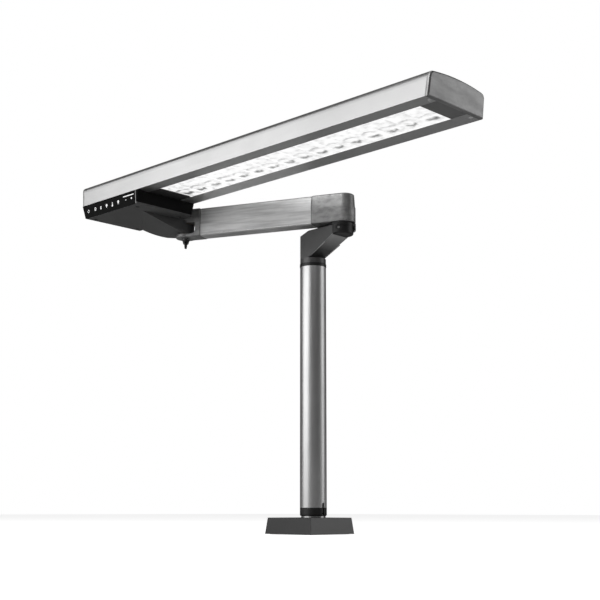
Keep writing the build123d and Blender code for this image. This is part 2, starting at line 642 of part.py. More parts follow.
disc_spring_z = (ARM_CREASE_Z + SEAM, ARM_CREASE_Z + SEAM + DISC_SPRING_THICK)
nut_z = (disc_spring_z[1] + SEAM, disc_spring_z[1] + SEAM + PIVOT_NUT_HEIGHT)
with BuildPart() as pivot_nut:
    with BuildSketch(arm_plane(nut_z[0])):
        RegularPolygon(PIVOT_NUT_FLATS / 2, 6, major_radius=False)
        Circle(PIVOT_PIN_R + SEAT, mode=Mode.SUBTRACT)
    extrude(amount=PIVOT_NUT_HEIGHT)
pivot_nut.part.label = "pivot_nut"
export_step(pivot_nut.part, "parts/pivot_nut.step")


# ================================================================ arm
def housing_outline(plane, inset, front=HOUSING_FRONT_X):
    """Plan of the arm's rear end: round behind the pivot, square with soft corners in front."""
    with BuildSketch(plane) as outline:
        with Locations((HOUSING_END_X, 0)):
            Circle(HOUSING_HALF - inset)
        with Locations(((HOUSING_END_X + front) / 2, 0)):
            Rectangle(front - HOUSING_END_X, 2 * (HOUSING_HALF - inset))
        fillet(outline.vertices().sort_by(Axis.X)[-2:], radius=HOUSING_FRONT_ROUND)
    return outline.sketch


with BuildPart() as arm_rear_housing:
    extrude(housing_outline(arm_plane(ARM_BOTTOM_Z), 0), amount=ARM_CREASE_Z - ARM_BOTTOM_Z)
    fillet(arm_rear_housing.faces().sort_by(Axis.Z)[0].edges(), radius=HOUSING_WALL / 2)
    inner_front = HOUSING_FRONT_X - HOUSING_WALL
    extrude(
        housing_outline(arm_plane(ARM_BOTTOM_Z + HOUSING_FLOOR), HOUSING_WALL, inner_front),
        amount=ARM_CREASE_Z - ARM_BOTTOM_Z - HOUSING_FLOOR,
        mode=Mode.SUBTRACT,
    )
    with BuildSketch(arm_plane(ARM_BOTTOM_Z + HOUSING_FLOOR / 2)):
        Circle(HOUSING_BOSS_R)
        with Locations(*HOUSING_SCREW_SPOTS):
            Circle(HOUSING_POST_R)
    extrude(amount=ARM_CREASE_Z - ARM_BOTTOM_Z - HOUSING_FLOOR / 2)
    tenon_bottom = ARM_BOTTOM_Z + BEAM_FLOOR + SEAM
    with BuildSketch(arm_section(HOUSING_FRONT_X - HOUSING_WALL / 2)):
        with Locations((0, (tenon_bottom + ARM_CREASE_Z) / 2)):
            Rectangle(2 * (BEAM_BORE_HALF - SEAM), ARM_CREASE_Z - tenon_bottom)
    extrude(amount=TENON_LENGTH)
    with BuildSketch(arm_plane(ARM_BOTTOM_Z)):
        Circle(PIVOT_BUSH_R + SEAT)
        with Locations(*HOUSING_SCREW_SPOTS):
            Circle(HOUSING_SCREW_R + SEAT)
    extrude(amount=ARM_CREASE_Z - ARM_BOTTOM_Z, mode=Mode.SUBTRACT)
    with BuildSketch(arm_plane(ARM_BOTTOM_Z)):
        with Locations(*HOUSING_SCREW_SPOTS):
            Circle(HOUSING_SCREW_HEAD_R + SEAM)
    extrude(amount=HOUSING_SCREW_HEAD + SEAM, mode=Mode.SUBTRACT)
arm_rear_housing.part.label = "arm_rear_housing"
export_step(arm_rear_housing.part, "parts/arm_rear_housing.step")

with BuildPart() as arm_rear_cover:
    cover_bottom = ARM_CREASE_Z + SEAM
    cover_roof_z = ARM_TOP_Z - COVER_ROOF
    extrude(
        housing_outline(arm_plane(cover_bottom), COVER_STEP, HOUSING_FRONT_X + COVER_STEP),
        amount=ARM_TOP_Z - cover_bottom,
        taper=COVER_TAPER,
    )
    fillet(arm_rear_cover.faces().sort_by(Axis.Z)[-1].edges(), radius=COVER_ROUND)
    with BuildSketch(arm_section(HOUSING_FRONT_X)):
        with Locations((0, ARM_TOP_Z)):
            Rectangle(CUT_REACH, CUT_REACH)
    extrude(amount=HOUSING_WALL, mode=Mode.SUBTRACT)
    cover_inset = COVER_STEP + HOUSING_WALL
    extrude(
        housing_outline(arm_plane(cover_bottom), cover_inset, HOUSING_FRONT_X - cover_inset),
        amount=cover_roof_z - cover_bottom,
        taper=COVER_TAPER,
        mode=Mode.SUBTRACT,
    )
    with BuildSketch(arm_plane(cover_bottom)):
        with Locations(*HOUSING_SCREW_SPOTS):
            Circle(HOUSING_POST_R)
    extrude(amount=ARM_TOP_Z - COVER_ROOF / 2 - cover_bottom)
    with BuildSketch(arm_plane(cover_bottom)):
        with Locations(*HOUSING_SCREW_SPOTS):
            Circle(HOUSING_SCREW_R + SEAT)
    extrude(amount=cover_roof_z - cover_bottom - SEAM, mode=Mode.SUBTRACT)
    with BuildSketch(arm_plane(ARM_TOP_Z)):
        Circle(PLUG_R + SEAT)
    extrude(amount=-COVER_ROOF / 2, mode=Mode.SUBTRACT)
    with BuildSketch(arm_plane(ARM_TOP_Z)):
        Circle(PLUG_SKIRT_R + SEAT)
    extrude(amount=-COVER_ROOF - SEAM, mode=Mode.SUBTRACT)
arm_rear_cover.part.label = "arm_rear_cover"
export_step(arm_rear_cover.part, "parts/arm_rear_cover.step")

with BuildPart() as pivot_plug:
    with BuildSketch(arm_plane(ARM_TOP_Z)):
        Circle(PLUG_R)
    extrude(amount=-COVER_ROOF / 2)
    fillet(pivot_plug.edges().group_by(Axis.Z)[-1], radius=SOFT_EDGE)
    with BuildSketch(arm_plane(ARM_TOP_Z - COVER_ROOF / 2)):
        Circle(PLUG_SKIRT_R)
        Circle(PLUG_SKIRT_R - PLUG_SKIRT, mode=Mode.SUBTRACT)
    extrude(amount=-COVER_ROOF)
pivot_plug.part.label = "pivot_plug"
export_step(pivot_plug.part, "parts/pivot_plug.step")

with BuildPart() as arm_housing_screws:
    screw_head_z = ARM_BOTTOM_Z + SEAM
    with BuildSketch(arm_plane(screw_head_z)):
        with Locations(*HOUSING_SCREW_SPOTS):
            Circle(HOUSING_SCREW_HEAD_R)
            RegularPolygon(HOUSING_SCREW_R, 6, mode=Mode.SUBTRACT)
    extrude(amount=HOUSING_SCREW_HEAD - SEAM)
    with BuildSketch(arm_plane(screw_head_z + HOUSING_SCREW_HEAD / 2)):
        with Locations(*HOUSING_SCREW_SPOTS):
            Circle(HOUSING_SCREW_R)
    extrude(amount=HOUSING_SCREW_LENGTH)
arm_housing_screws.part.label = "arm_housing_screws"
export_step(arm_housing_screws.part, "parts/arm_housing_screws.step")

lower_bush_z = (ARM_BOTTOM_Z + SEAM, ARM_BOTTOM_Z + SEAM + PIVOT_BUSH_LENGTH)
pivot_lower_bush = tube(PIVOT_BUSH_R, PIVOT_PIN_R + RUN, *lower_bush_z, (REACH, 0))
pivot_lower_bush.label = "pivot_lower_bush"
export_step(pivot_lower_bush, "parts/pivot_lower_bush.step")

upper_bush_z = (ARM_CREASE_Z - PIVOT_BUSH_LENGTH, ARM_CREASE_Z)
pivot_upper_bush = tube(PIVOT_BUSH_R, PIVOT_PIN_R + RUN, *upper_bush_z, (REACH, 0))
pivot_upper_bush.label = "pivot_upper_bush"
export_step(pivot_upper_bush, "parts/pivot_upper_bush.step")

pivot_disc_spring = tube(DISC_SPRING_R, PIVOT_PIN_R + RUN, *disc_spring_z, (REACH, 0))
pivot_disc_spring.label = "pivot_disc_spring"
export_step(pivot_disc_spring, "parts/pivot_disc_spring.step")

beam_end = FORK_START - SEAM
with BuildPart() as arm_beam:
    with BuildSketch(arm_section(BEAM_START)):
        with BuildLine() as beam_half_outline:
            Polyline(
                (0, ARM_BOTTOM_Z),
                (BEAM_HALF - BEAM_BEVEL, ARM_BOTTOM_Z),
                (BEAM_HALF, ARM_BOTTOM_Z + BEAM_BEVEL),
                (BEAM_HALF, ARM_CREASE_Z),
                (BEAM_UPPER_HALF, ARM_CREASE_Z),
                (BEAM_TOP_HALF, ARM_TOP_Z - BEAM_BEVEL),
                (BEAM_TOP_HALF - BEAM_BEVEL, ARM_TOP_Z),
                (0, ARM_TOP_Z),
            )
            mirror(about=Plane.YZ)
        make_face()
        with Locations((0, (ARM_BOTTOM_Z + ARM_TOP_Z) / 2)):
            Rectangle(2 * BEAM_BORE_HALF, ARM_TOP_Z - ARM_BOTTOM_Z - 2 * BEAM_FLOOR, mode=Mode.SUBTRACT)
    extrude(amount=beam_end - BEAM_START)
arm_beam.part.label = "arm_beam"
export_step(arm_beam.part, "parts/arm_beam.step")

with BuildPart() as arm_front_fork:
    with BuildSketch(arm_plane(ARM_BOTTOM_Z)):
        with Locations(((FORK_START + ARM_REACH) / 2, 0)):
            Rectangle(ARM_REACH - FORK_START, 2 * FORK_HALF)
        with Locations((ARM_REACH, 0)):
            Circle(FORK_EYE_R)
    extrude(amount=ARM_TOP_Z - ARM_BOTTOM_Z)
    top_and_bottom = arm_front_fork.faces().filter_by(Axis.Z)
    chamfer(top_and_bottom.edges(), length=FORK_EDGE)
    gap_length = FORK_WEB_X + 2 * FORK_EYE_R
    with BuildSketch(arm_side()) as fork_gap:
        with Locations((ARM_REACH - FORK_WEB_X + gap_length / 2, sum(FORK_GAP_Z) / 2)):
            Rectangle(gap_length, FORK_GAP_Z[1] - FORK_GAP_Z[0])
        inner_corners = fork_gap.vertices().group_by(Axis.X)[0].sort_by(Axis.Y)
        fillet(inner_corners[0], radius=FORK_INNER_ROUND)
        inner_corners = fork_gap.vertices().group_by(Axis.X)[0].sort_by(Axis.Y)
        fillet(inner_corners[-1], radius=FORK_EDGE)
    extrude(amount=2 * FORK_EYE_R, both=True, mode=Mode.SUBTRACT)
    with BuildSketch(arm_section(FORK_START)):
        with Locations((0, (ARM_BOTTOM_Z + ARM_TOP_Z) / 2)):
            tenon_height = ARM_TOP_Z - ARM_BOTTOM_Z - 2 * (BEAM_FLOOR + SEAM)
            Rectangle(2 * (BEAM_BORE_HALF - SEAM), tenon_height)
    extrude(amount=-TENON_LENGTH)
    with BuildSketch(arm_plane(ARM_BOTTOM_Z)):
        with Locations((ARM_REACH, 0)):
            Circle(BOLT_R + RUN)
    extrude(amount=ARM_TOP_Z - ARM_BOTTOM_Z, mode=Mode.SUBTRACT)
    with BuildSketch(arm_plane(BOLT_HEAD_Z)):
        with Locations((ARM_REACH, 0)):
            Circle(BOLT_WELL_R)
    extrude(amount=ARM_TOP_Z - BOLT_HEAD_Z, mode=Mode.SUBTRACT)
arm_front_fork.part.label = "arm_front_fork"
export_step(arm_front_fork.part, "parts/arm_front_fork.step")

with BuildPart() as fork_cap:
    add(tube(BOLT_WELL_R - SEAT, 0, ARM_TOP_Z - FORK_CAP_THICK, FORK_CAP_CROWN_Z, (FRONT_X, FRONT_Y)))
    add(tube(FORK_CAP_R, 0, ARM_TOP_Z + SEAM, FORK_CAP_CROWN_Z, (FRONT_X, FRONT_Y)))
    fillet(fork_cap.edges().group_by(Axis.Z)[-1], radius=FORK_CAP_ROUND)
fork_cap.part.label = "fork_cap"
export_step(fork_cap.part, "parts/fork_cap.step")

with BuildPart() as head_pivot_bolt:
    add(tube(BOLT_R, 0, BOLT_BOTTOM_Z, BOLT_HEAD_Z + SEAM, (FRONT_X, FRONT_Y)))
    with BuildSketch(Plane.XY.offset(BOLT_HEAD_Z + SEAM)):
        with Locations((FRONT_X, FRONT_Y)):
            RegularPolygon(BOLT_HEAD_FLATS / 2, 6, major_radius=False)
    extrude(amount=BOLT_HEAD)
head_pivot_bolt.part.label = "head_pivot_bolt"
export_step(head_pivot_bolt.part, "parts/head_pivot_bolt.step")

# ================================================================ wing nut
wing_washer = tube(WING_WASHER_R, BOLT_R + RUN, *WING_WASHER_Z, (FRONT_X, FRONT_Y))
wing_washer.label = "wing_washer"
export_step(wing_washer, "parts/wing_washer.step")

with BuildPart() as wing_nut:
    hub_height = WING_HUB_Z[1] - WING_HUB_Z[0]
    wing_root_z = WING_HUB_Z[0] + hub_height / 2
    with BuildSketch(radial_plane((FRONT_X, FRONT_Y), WING_AZIMUTH + 90, 0)):
        with BuildLine():
            Polyline(
                (0, wing_root_z),
                (WING_ROOT, wing_root_z),
                (WING_SPAN, WING_TIP_Z + WING_EDGE),
                (WING_SPAN - WING_EDGE, WING_TIP_Z),
                (WING_ROOT, WING_TIP_Z + WING_EDGE / 2),
                (0, WING_HUB_Z[0] - WING_EDGE / 2),
            )
            mirror(about=Plane.YZ)
        make_face()
    extrude(amount=WING_THICK[1] / 2, both=True)
    with BuildSketch(radial_plane((FRONT_X, FRONT_Y), WING_AZIMUTH, 0)):
        with BuildLine():
            tip_half, top_half = (thick / 2 for thick in WING_THICK)
            Polyline(
                (-tip_half, WING_TIP_Z),
                (tip_half, WING_TIP_Z),
                (top_half, WING_HUB_Z[1]),
                (-top_half, WING_HUB_Z[1]),
                close=True,
            )
        make_face()
    extrude(amount=WING_SPAN, both=True, mode=Mode.INTERSECT)
    fillet(wing_nut.edges().filter_by(lambda e: e.center().Z < wing_root_z - SOFT_EDGE), radius=SOFT_EDGE)
    with Locations((FRONT_X, FRONT_Y, WING_HUB_Z[0])):
        Cone(WING_HUB_LOW_R, WING_HUB_R, hub_height, align=BOTTOM)
    with Locations((FRONT_X, FRONT_Y, BOLT_BOTTOM_Z - SEAM)):
        Cylinder(BOLT_R + RUN, hub_height, align=BOTTOM, mode=Mode.SUBTRACT)
wing_nut.part.label = "wing_nut"
export_step(wing_nut.part, "parts/wing_nut.step")


# ================================================================ head
def head_section(plane, inset, bottom):
    """Closed cross-section of the head across X, shrunk by an inset: upright sides and a low arched top."""
    near = HEAD_Y[0] + inset
    far = HEAD_Y[1] - inset
    shoulder = HEAD_SIDE_Z - inset
    with BuildSketch(plane) as section:
        with BuildLine():
            Line((near, bottom), (far, bottom))
            Line((far, bottom), (far - HEAD_SIDE_LEAN, shoulder))
            ThreePointArc(
                (far - HEAD_SIDE_LEAN, shoulder),
                (HEAD_MID_Y, HEAD_CROWN_Z - inset),
                (near + HEAD_SIDE_LEAN, shoulder),
            )
            Line((near + HEAD_SIDE_LEAN, shoulder), (near, bottom))
        make_face()
        fillet(section.vertices().sort_by(Axis.Y)[-2:], radius=HEAD_TOP_ROUND - inset)
    return section.sketch


def rake_block(left, right, left_rake, right_rake):
    """Side view of the head between two end faces, as a block right across it."""
    top = HEAD_CROWN_Z + HEAD_WALL
    bottom = HEAD_BOTTOM_Z - HEAD_WALL
    per_mm = HEAD_RAKE / (HEAD_CROWN_Z - HEAD_BOTTOM_Z)
    with BuildPart() as block:
        with BuildSketch(Plane.XZ.offset(-HEAD_MID_Y)):
            with BuildLine():
                Polyline(
                    (left - left_rake * per_mm * (bottom - HEAD_BOTTOM_Z), bottom),
                    (right + right_rake * per_mm * (bottom - HEAD_BOTTOM_Z), bottom),
                    (right + right_rake * per_mm * (top - HEAD_BOTTOM_Z), top),
                    (left - left_rake * per_mm * (top - HEAD_BOTTOM_Z), top),
                    close=True,
                )
            make_face()
        extrude(amount=HEAD_Y[1] - HEAD_Y[0], both=True)
    return block.part


head_length = HEAD_X[1] - HEAD_X[0] + 2 * HEAD_OVERRUN
head_start = Plane.YZ.offset(HEAD_X[0] - HEAD_OVERRUN)
cap_screw_spots = [
    (x, y) for x in (HEAD_X[0] + CAP_SCREW_INSET, HEAD_X[1] - CAP_SCREW_INSET) for y in CAP_SCREW_Y
]

with BuildPart() as head_profile:
    extrude(head_section(head_start, 0, HEAD_BOTTOM_Z), amount=head_length, dir=(1, 0, 0))
    extrude(
        head_section(head_start, HEAD_WALL, FLANGE_TOP_Z),
        amount=head_length,
        dir=(1, 0, 0),
        mode=Mode.SUBTRACT,
    )
    with BuildSketch(Plane.XY.offset(HEAD_BOTTOM_Z)):
        with Locations(((HEAD_X[0] + HEAD_X[1]) / 2, CELL_MID_Y)):
            Rectangle(2 * head_length, WINDOW_Y[1] - WINDOW_Y[0])
        with Locations(*cap_screw_spots):
            Circle(CAP_SCREW_HEAD_R + SEAT)
    extrude(amount=HEAD_WALL, mode=Mode.SUBTRACT)
    profile_ends = (HEAD_X[0] + CAP_THICK + SEAM, HEAD_X[1] - CAP_THICK - SEAM)
    add(rake_block(*profile_ends, 1, 1), mode=Mode.INTERSECT)
head_profile.part.label = "head_profile"
export_step(head_profile.part, "parts/head_profile.step")


def end_cap(left, right, side):
    """Raked end plate with two lugs that its screws pull down on the flanges; side is -1 or 1."""
    lug_x, lug_y, lug_z = CAP_LUG
    with BuildPart() as cap:
        extrude(head_section(head_start, 0, HEAD_BOTTOM_Z), amount=head_length, dir=(1, 0, 0))
        add(rake_block(left, right, -side, side), mode=Mode.INTERSECT)
        outward = Axis((0, 0, 0), (side, 0, 0))
        fillet(cap.faces().sort_by(outward)[-1].edges(), radius=CAP_ROUND)
        lug_mid = (left + right) / 2 - side * (CAP_THICK + lug_x) / 2
        with BuildSketch(Plane.XY.offset(LENS_BOTTOM_Z)):
            with Locations(*[(lug_mid, y) for y in CAP_SCREW_Y]):
                Rectangle(lug_x + CAP_THICK, lug_y)
        extrude(amount=lug_z)
        with BuildSketch(Plane.XY.offset(LENS_BOTTOM_Z)):
            with Locations(*cap_screw_spots):
                Circle(CAP_SCREW_R + SEAT)
        extrude(amount=lug_z, mode=Mode.SUBTRACT)
    return cap.part


end_cap_right = end_cap(HEAD_X[1] - CAP_THICK, HEAD_X[1], 1)
end_cap_right.label = "end_cap_right"
export_step(end_cap_right, "parts/end_cap_right.step")

end_cap_left = end_cap(HEAD_X[0], HEAD_X[0] + CAP_THICK, -1)
end_cap_left.label = "end_cap_left"
export_step(end_cap_left, "parts/end_cap_left.step")

with BuildPart() as end_cap_screws:
    screw_face_z = HEAD_BOTTOM_Z + SEAM
    with BuildSketch(Plane.XY.offset(screw_face_z)):
        with Locations(*cap_screw_spots):
            Circle(CAP_SCREW_HEAD_R)
    extrude(amount=CAP_SCREW_HEAD)
    with BuildSketch(Plane.XY.offset(screw_face_z)):
        with Locations(*cap_screw_spots):
            Rectangle(CAP_SCREW_R * 2, CAP_SCREW_R / 3)
            Rectangle(CAP_SCREW_R / 3, CAP_SCREW_R * 2)
    extrude(amount=CAP_SCREW_HEAD / 2, mode=Mode.SUBTRACT)
    with BuildSketch(Plane.XY.offset(screw_face_z + CAP_SCREW_HEAD)):
        with Locations(*cap_screw_spots):
            Circle(CAP_SCREW_R)
    extrude(amount=CAP_SCREW_LENGTH)
end_cap_screws.part.label = "end_cap_screws"
export_step(end_cap_screws.part, "parts/end_cap_screws.step")


def filler(left, right, lip_left, lip_right):
    """Plate that closes the slot between the flanges, with a wider lip that lies on top of them."""
    with BuildPart() as plate:
        with BuildSketch(Plane.XY.offset(HEAD_BOTTOM_Z + SEAM)):
            with Locations(((left + right) / 2, CELL_MID_Y)):
                Rectangle(right - left, WINDOW_Y[1] - WINDOW_Y[0] - 2 * SEAM)
        extrude(amount=LENS_BOTTOM_Z - HEAD_BOTTOM_Z - SEAM)
        with BuildSketch(Plane.XY.offset(LENS_BOTTOM_Z)):
            with Locations(((lip_left + lip_right) / 2, CELL_MID_Y)):
                Rectangle(lip_right - lip_left, WINDOW_Y[1] - WINDOW_Y[0] + 2 * FILLER_LIP)
        extrude(amount=LENS_THICK)
    return plate.part


lens_x = (WINDOW_X[0] - LENS_END, WINDOW_X[1] + LENS_END)
filler_right = filler(WINDOW_X[1], profile_ends[1], lens_x[1] + SEAM, profile_ends[1])
filler_right.label = "filler_right"
export_step(filler_right, "parts/filler_right.step")

filler_left = filler(profile_ends[0], WINDOW_X[0], profile_ends[0], lens_x[0] - SEAM)
filler_left.label = "filler_left"
export_step(filler_left, "parts/filler_left.step")

with BuildPart() as lens_plate:
    with BuildSketch(Plane.XY.offset(LENS_BOTTOM_Z)):
        with Locations((sum(lens_x) / 2, CELL_MID_Y)):
            Rectangle(lens_x[1] - lens_x[0], WINDOW_Y[1] - WINDOW_Y[0] + 2 * LENS_SIDE)
    extrude(amount=LENS_THICK)
    with BuildSketch(Plane.XY.offset(LENS_PAD_Z)):
        with Locations((sum(WINDOW_X) / 2, CELL_MID_Y)):
            Rectangle(WINDOW_X[1] - WINDOW_X[0] - 2 * SEAM, WINDOW_Y[1] - WINDOW_Y[0] - 2 * SEAM)
    extrude(amount=LENS_BOTTOM_Z - LENS_PAD_Z)
lens_plate.part.label = "lens_plate"
export_step(lens_plate.part, "parts/lens_plate.step")

cell_spots = [(WINDOW_X[0] + (i + 0.5) * CELL_PITCH, CELL_MID_Y) for i in range(CELL_COUNT)]

dome_ball_r = (DOME_R**2 + DOME_HEIGHT**2) / (2 * DOME_HEIGHT)
dome_base_z = LENS_TOP_Z + SEAT
with BuildPart() as lens_domes:
    for x, y in cell_spots:
        with BuildSketch(Plane(origin=(x, y, dome_base_z), x_dir=(1, 0, 0), z_dir=(0, -1, 0))):
            with BuildLine():
                Line((0, 0), (DOME_R, 0))
                RadiusArc((DOME_R, 0), (0, DOME_HEIGHT), -dome_ball_r)
                Line((0, DOME_HEIGHT), (0, 0))
            make_face()
        revolve(axis=Axis((x, y, dome_base_z), (0, 0, 1)))
lens_domes.part.label = "lens_domes"
export_step(lens_domes.part, "parts/lens_domes.step")

tray_length = lens_x[1] - lens_x[0] - 2 * TRAY_INSET
tray_width = WINDOW_Y[1] - WINDOW_Y[0] + 2 * (LENS_SIDE - TRAY_INSET)
tray_bottom_z = LENS_TOP_Z + SEAM
with BuildPart() as led_tray:
    with BuildSketch(Plane.XY.offset(tray_bottom_z)):
        with Locations((sum(lens_x) / 2, CELL_MID_Y)):
            Rectangle(tray_length, tray_width)
    extrude(amount=TRAY_ROOF_Z + TRAY_SKIN - tray_bottom_z)
    with BuildSketch(Plane.XY.offset(tray_bottom_z)):
        with Locations((sum(lens_x) / 2, CELL_MID_Y)):
            Rectangle(tray_length - 2 * TRAY_SKIN, tray_width - 2 * TRAY_SKIN)
    extrude(amount=TRAY_ROOF_Z - tray_bottom_z, mode=Mode.SUBTRACT)
led_tray.part.label = "led_tray"
export_step(led_tray.part, "parts/led_tray.step")

board_bottom_z = TRAY_ROOF_Z - SEAM - BOARD_THICK
with BuildPart() as led_board:
    with BuildSketch(Plane.XY.offset(board_bottom_z)):
        with Locations((sum(lens_x) / 2, CELL_MID_Y)):
            Rectangle(tray_length - 2 * BOARD_END, 2 * BOARD_HALF)
    extrude(amount=BOARD_THICK)
led_board.part.label = "led_board"
export_step(led_board.part, "parts/led_board.step")

with BuildPart() as led_chips:
    with BuildSketch(Plane.XY.offset(board_bottom_z - CHIP_THICK)):
        with Locations(*cell_spots):
            Rectangle(CHIP_SIDE, CHIP_SIDE)
    extrude(amount=CHIP_THICK)
led_chips.part.label = "led_chips"
export_step(led_chips.part, "parts/led_chips.step")

with BuildPart() as heat_spreader:
    with BuildSketch(Plane.XY.offset(TRAY_ROOF_Z + TRAY_SKIN + SEAM)):
        with Locations((sum(lens_x) / 2, CELL_MID_Y)):
            Rectangle(tray_length, 2 * SPREADER_HALF)
    extrude(amount=SPREADER_THICK)
heat_spreader.part.label = "heat_spreader"
export_step(heat_spreader.part, "parts/heat_spreader.step")


# ================================================================ control box
def box_rectangle(height, inset):
    """Bounds of the tapering box at a height, shrunk by an inset: x low, x high, y low, y high."""
    share = (height - BOX_FOOT_Z) / (HEAD_BOTTOM_Z - BOX_FOOT_Z)
    x0, x1, y0, y1 = (low + share * (high - low) for low, high in zip(BOX_FOOT, BOX_TOP))
    return x0 + inset, x1 - inset, y0 + inset, y1 - inset


def box_frustum(bottom, top, inset):
    """The tapering box between two heights, as a part."""
    with BuildPart() as frustum:
        for height in (bottom, top):
            x0, x1, y0, y1 = box_rectangle(height, inset)
            with BuildSketch(Plane.XY.offset(height)):
                with Locations(((x0 + x1) / 2, (y0 + y1) / 2)):
                    Rectangle(x1 - x0, y1 - y0)
        loft()
    return frustum.part


def front_slab(start, end, depth, gap):
    """Slanted slab just behind the box's near face, between two X values."""
    foot_y = BOX_FOOT[2]
    top_y = BOX_TOP[2]
    with BuildPart() as slab:
        with BuildSketch(Plane.YZ.offset(start)):
            with BuildLine():
                Polyline(
                    (top_y - depth, HEAD_BOTTOM_Z),
                    (top_y + depth + gap, HEAD_BOTTOM_Z),
                    (foot_y + depth + gap, BOX_FOOT_Z),
                    (foot_y - depth, BOX_FOOT_Z),
                    close=True,
                )
            make_face()
        extrude(amount=end - start)
    return slab.part


post_spots = [(x, y) for x in BOX_SCREW_X for y in BOX_SCREW_Y]
trim_x = (BOX_FOOT[1] - TRIM_END - TRIM_WIDTH, BOX_FOOT[1] - TRIM_END)
housing_bottom_z = COVER_PLATE_TOP_Z + SEAM

with BuildPart() as box_room:
    add(box_frustum(housing_bottom_z, BOX_TOP_Z - BOX_WALL, BOX_WALL))
    add(
        tube(RELIEF_R + RELIEF_SKIN, 0, housing_bottom_z, BOX_TOP_Z, (FRONT_X, FRONT_Y)),
        mode=Mode.SUBTRACT,
    )

with BuildPart() as control_housing:
    add(box_frustum(housing_bottom_z, BOX_TOP_Z, 0))
    add(box_room.part, mode=Mode.SUBTRACT)
    add(front_slab(BOX_TOP[0], trim_x[1], PANEL_THICK, SEAM), mode=Mode.SUBTRACT)
    with BuildSketch(Plane.XY.offset(BOX_POST_TOP_Z + SEAM)):
        with Locations(*post_spots):
            Circle(BOX_POST_R)
    extrude(amount=BOX_TOP_Z - BOX_POST_TOP_Z - SEAM)
    with BuildSketch(Plane.XY.offset(BOX_POST_TOP_Z)):
        with Locations(*post_spots):
            Circle(BOX_SCREW_R + SEAT)
    extrude(amount=BOX_SCREW_LENGTH, mode=Mode.SUBTRACT)
    relief = tube(RELIEF_R, 0, BOX_FOOT_Z, HEAD_BOTTOM_Z, (FRONT_X, FRONT_Y))
    add(relief, mode=Mode.SUBTRACT)
control_housing.part.label = "control_housing"
export_step(control_housing.part, "parts/control_housing.step")

with BuildPart() as touch_panel:
    add(box_frustum(BOX_FOOT_Z + SEAM, BOX_TOP_Z, 0))
    add(front_slab(BOX_TOP[0], trim_x[0] - SEAM, PANEL_THICK, 0), mode=Mode.INTERSECT)
touch_panel.part.label = "touch_panel"
export_step(touch_panel.part, "parts/touch_panel.step")

with BuildPart() as panel_trim:
    add(box_frustum(BOX_FOOT_Z + SEAM, BOX_TOP_Z, 0))
    add(front_slab(trim_x[0], trim_x[1], PANEL_THICK, 0), mode=Mode.INTERSECT)
panel_trim.part.label = "panel_trim"
export_step(panel_trim.part, "parts/panel_trim.step")

touch_length, touch_thick, touch_height = TOUCH_BOARD
with BuildPart() as touch_board:
    board_x = (BOX_FOOT[0] + BOX_FOOT[1]) / 2
    board_y = BOX_FOOT[2] + TOUCH_BOARD_BACK
    with BuildSketch(Plane.XY.offset(COVER_PLATE_TOP_Z + BOX_WALL)):
        with Locations((board_x, board_y)):
            Rectangle(touch_length, touch_thick)
    extrude(amount=touch_height)
touch_board.part.label = "touch_board"
export_step(touch_board.part, "parts/touch_board.step")

# far edge of the fairing: a line that touches the knuckle circle
edge_dir = (cos(radians(FAIRING_EDGE_AZIMUTH)), sin(radians(FAIRING_EDGE_AZIMUTH)))
edge_end = (FRONT_X - KNUCKLE_R * edge_dir[1], FRONT_Y + KNUCKLE_R * edge_dir[0])
edge_start = [end - FAIRING_EDGE_LENGTH * d for end, d in zip(edge_end, edge_dir)]
fairing_root = (FRONT_X + KNUCKLE_R, FAIRING_ROOT_Y)


def fairing_outline(share):
    """Plan of the fairing where it has dropped by a share of its full depth."""
    ridge = tuple(a + share * (b - a) for a, b in zip(FAIRING_RIDGE_START, FAIRING_RIDGE_END))
    along = FAIRING_EDGE_FALL * (1 - (1 - share) ** (1 / FAIRING_EASE))
    edge = tuple(start + along * d for start, d in zip(edge_start, edge_dir))
    return ridge, fairing_root, edge_end, edge


with BuildPart() as fairing:
    for share in FAIRING_STEPS:
        with BuildSketch(Plane.XY.offset(BOX_FOOT_Z + share * (KNUCKLE_Z[0] - BOX_FOOT_Z))):
            with BuildLine():
                Polyline(*fairing_outline(share), close=True)
            make_face()
    loft(ruled=True)

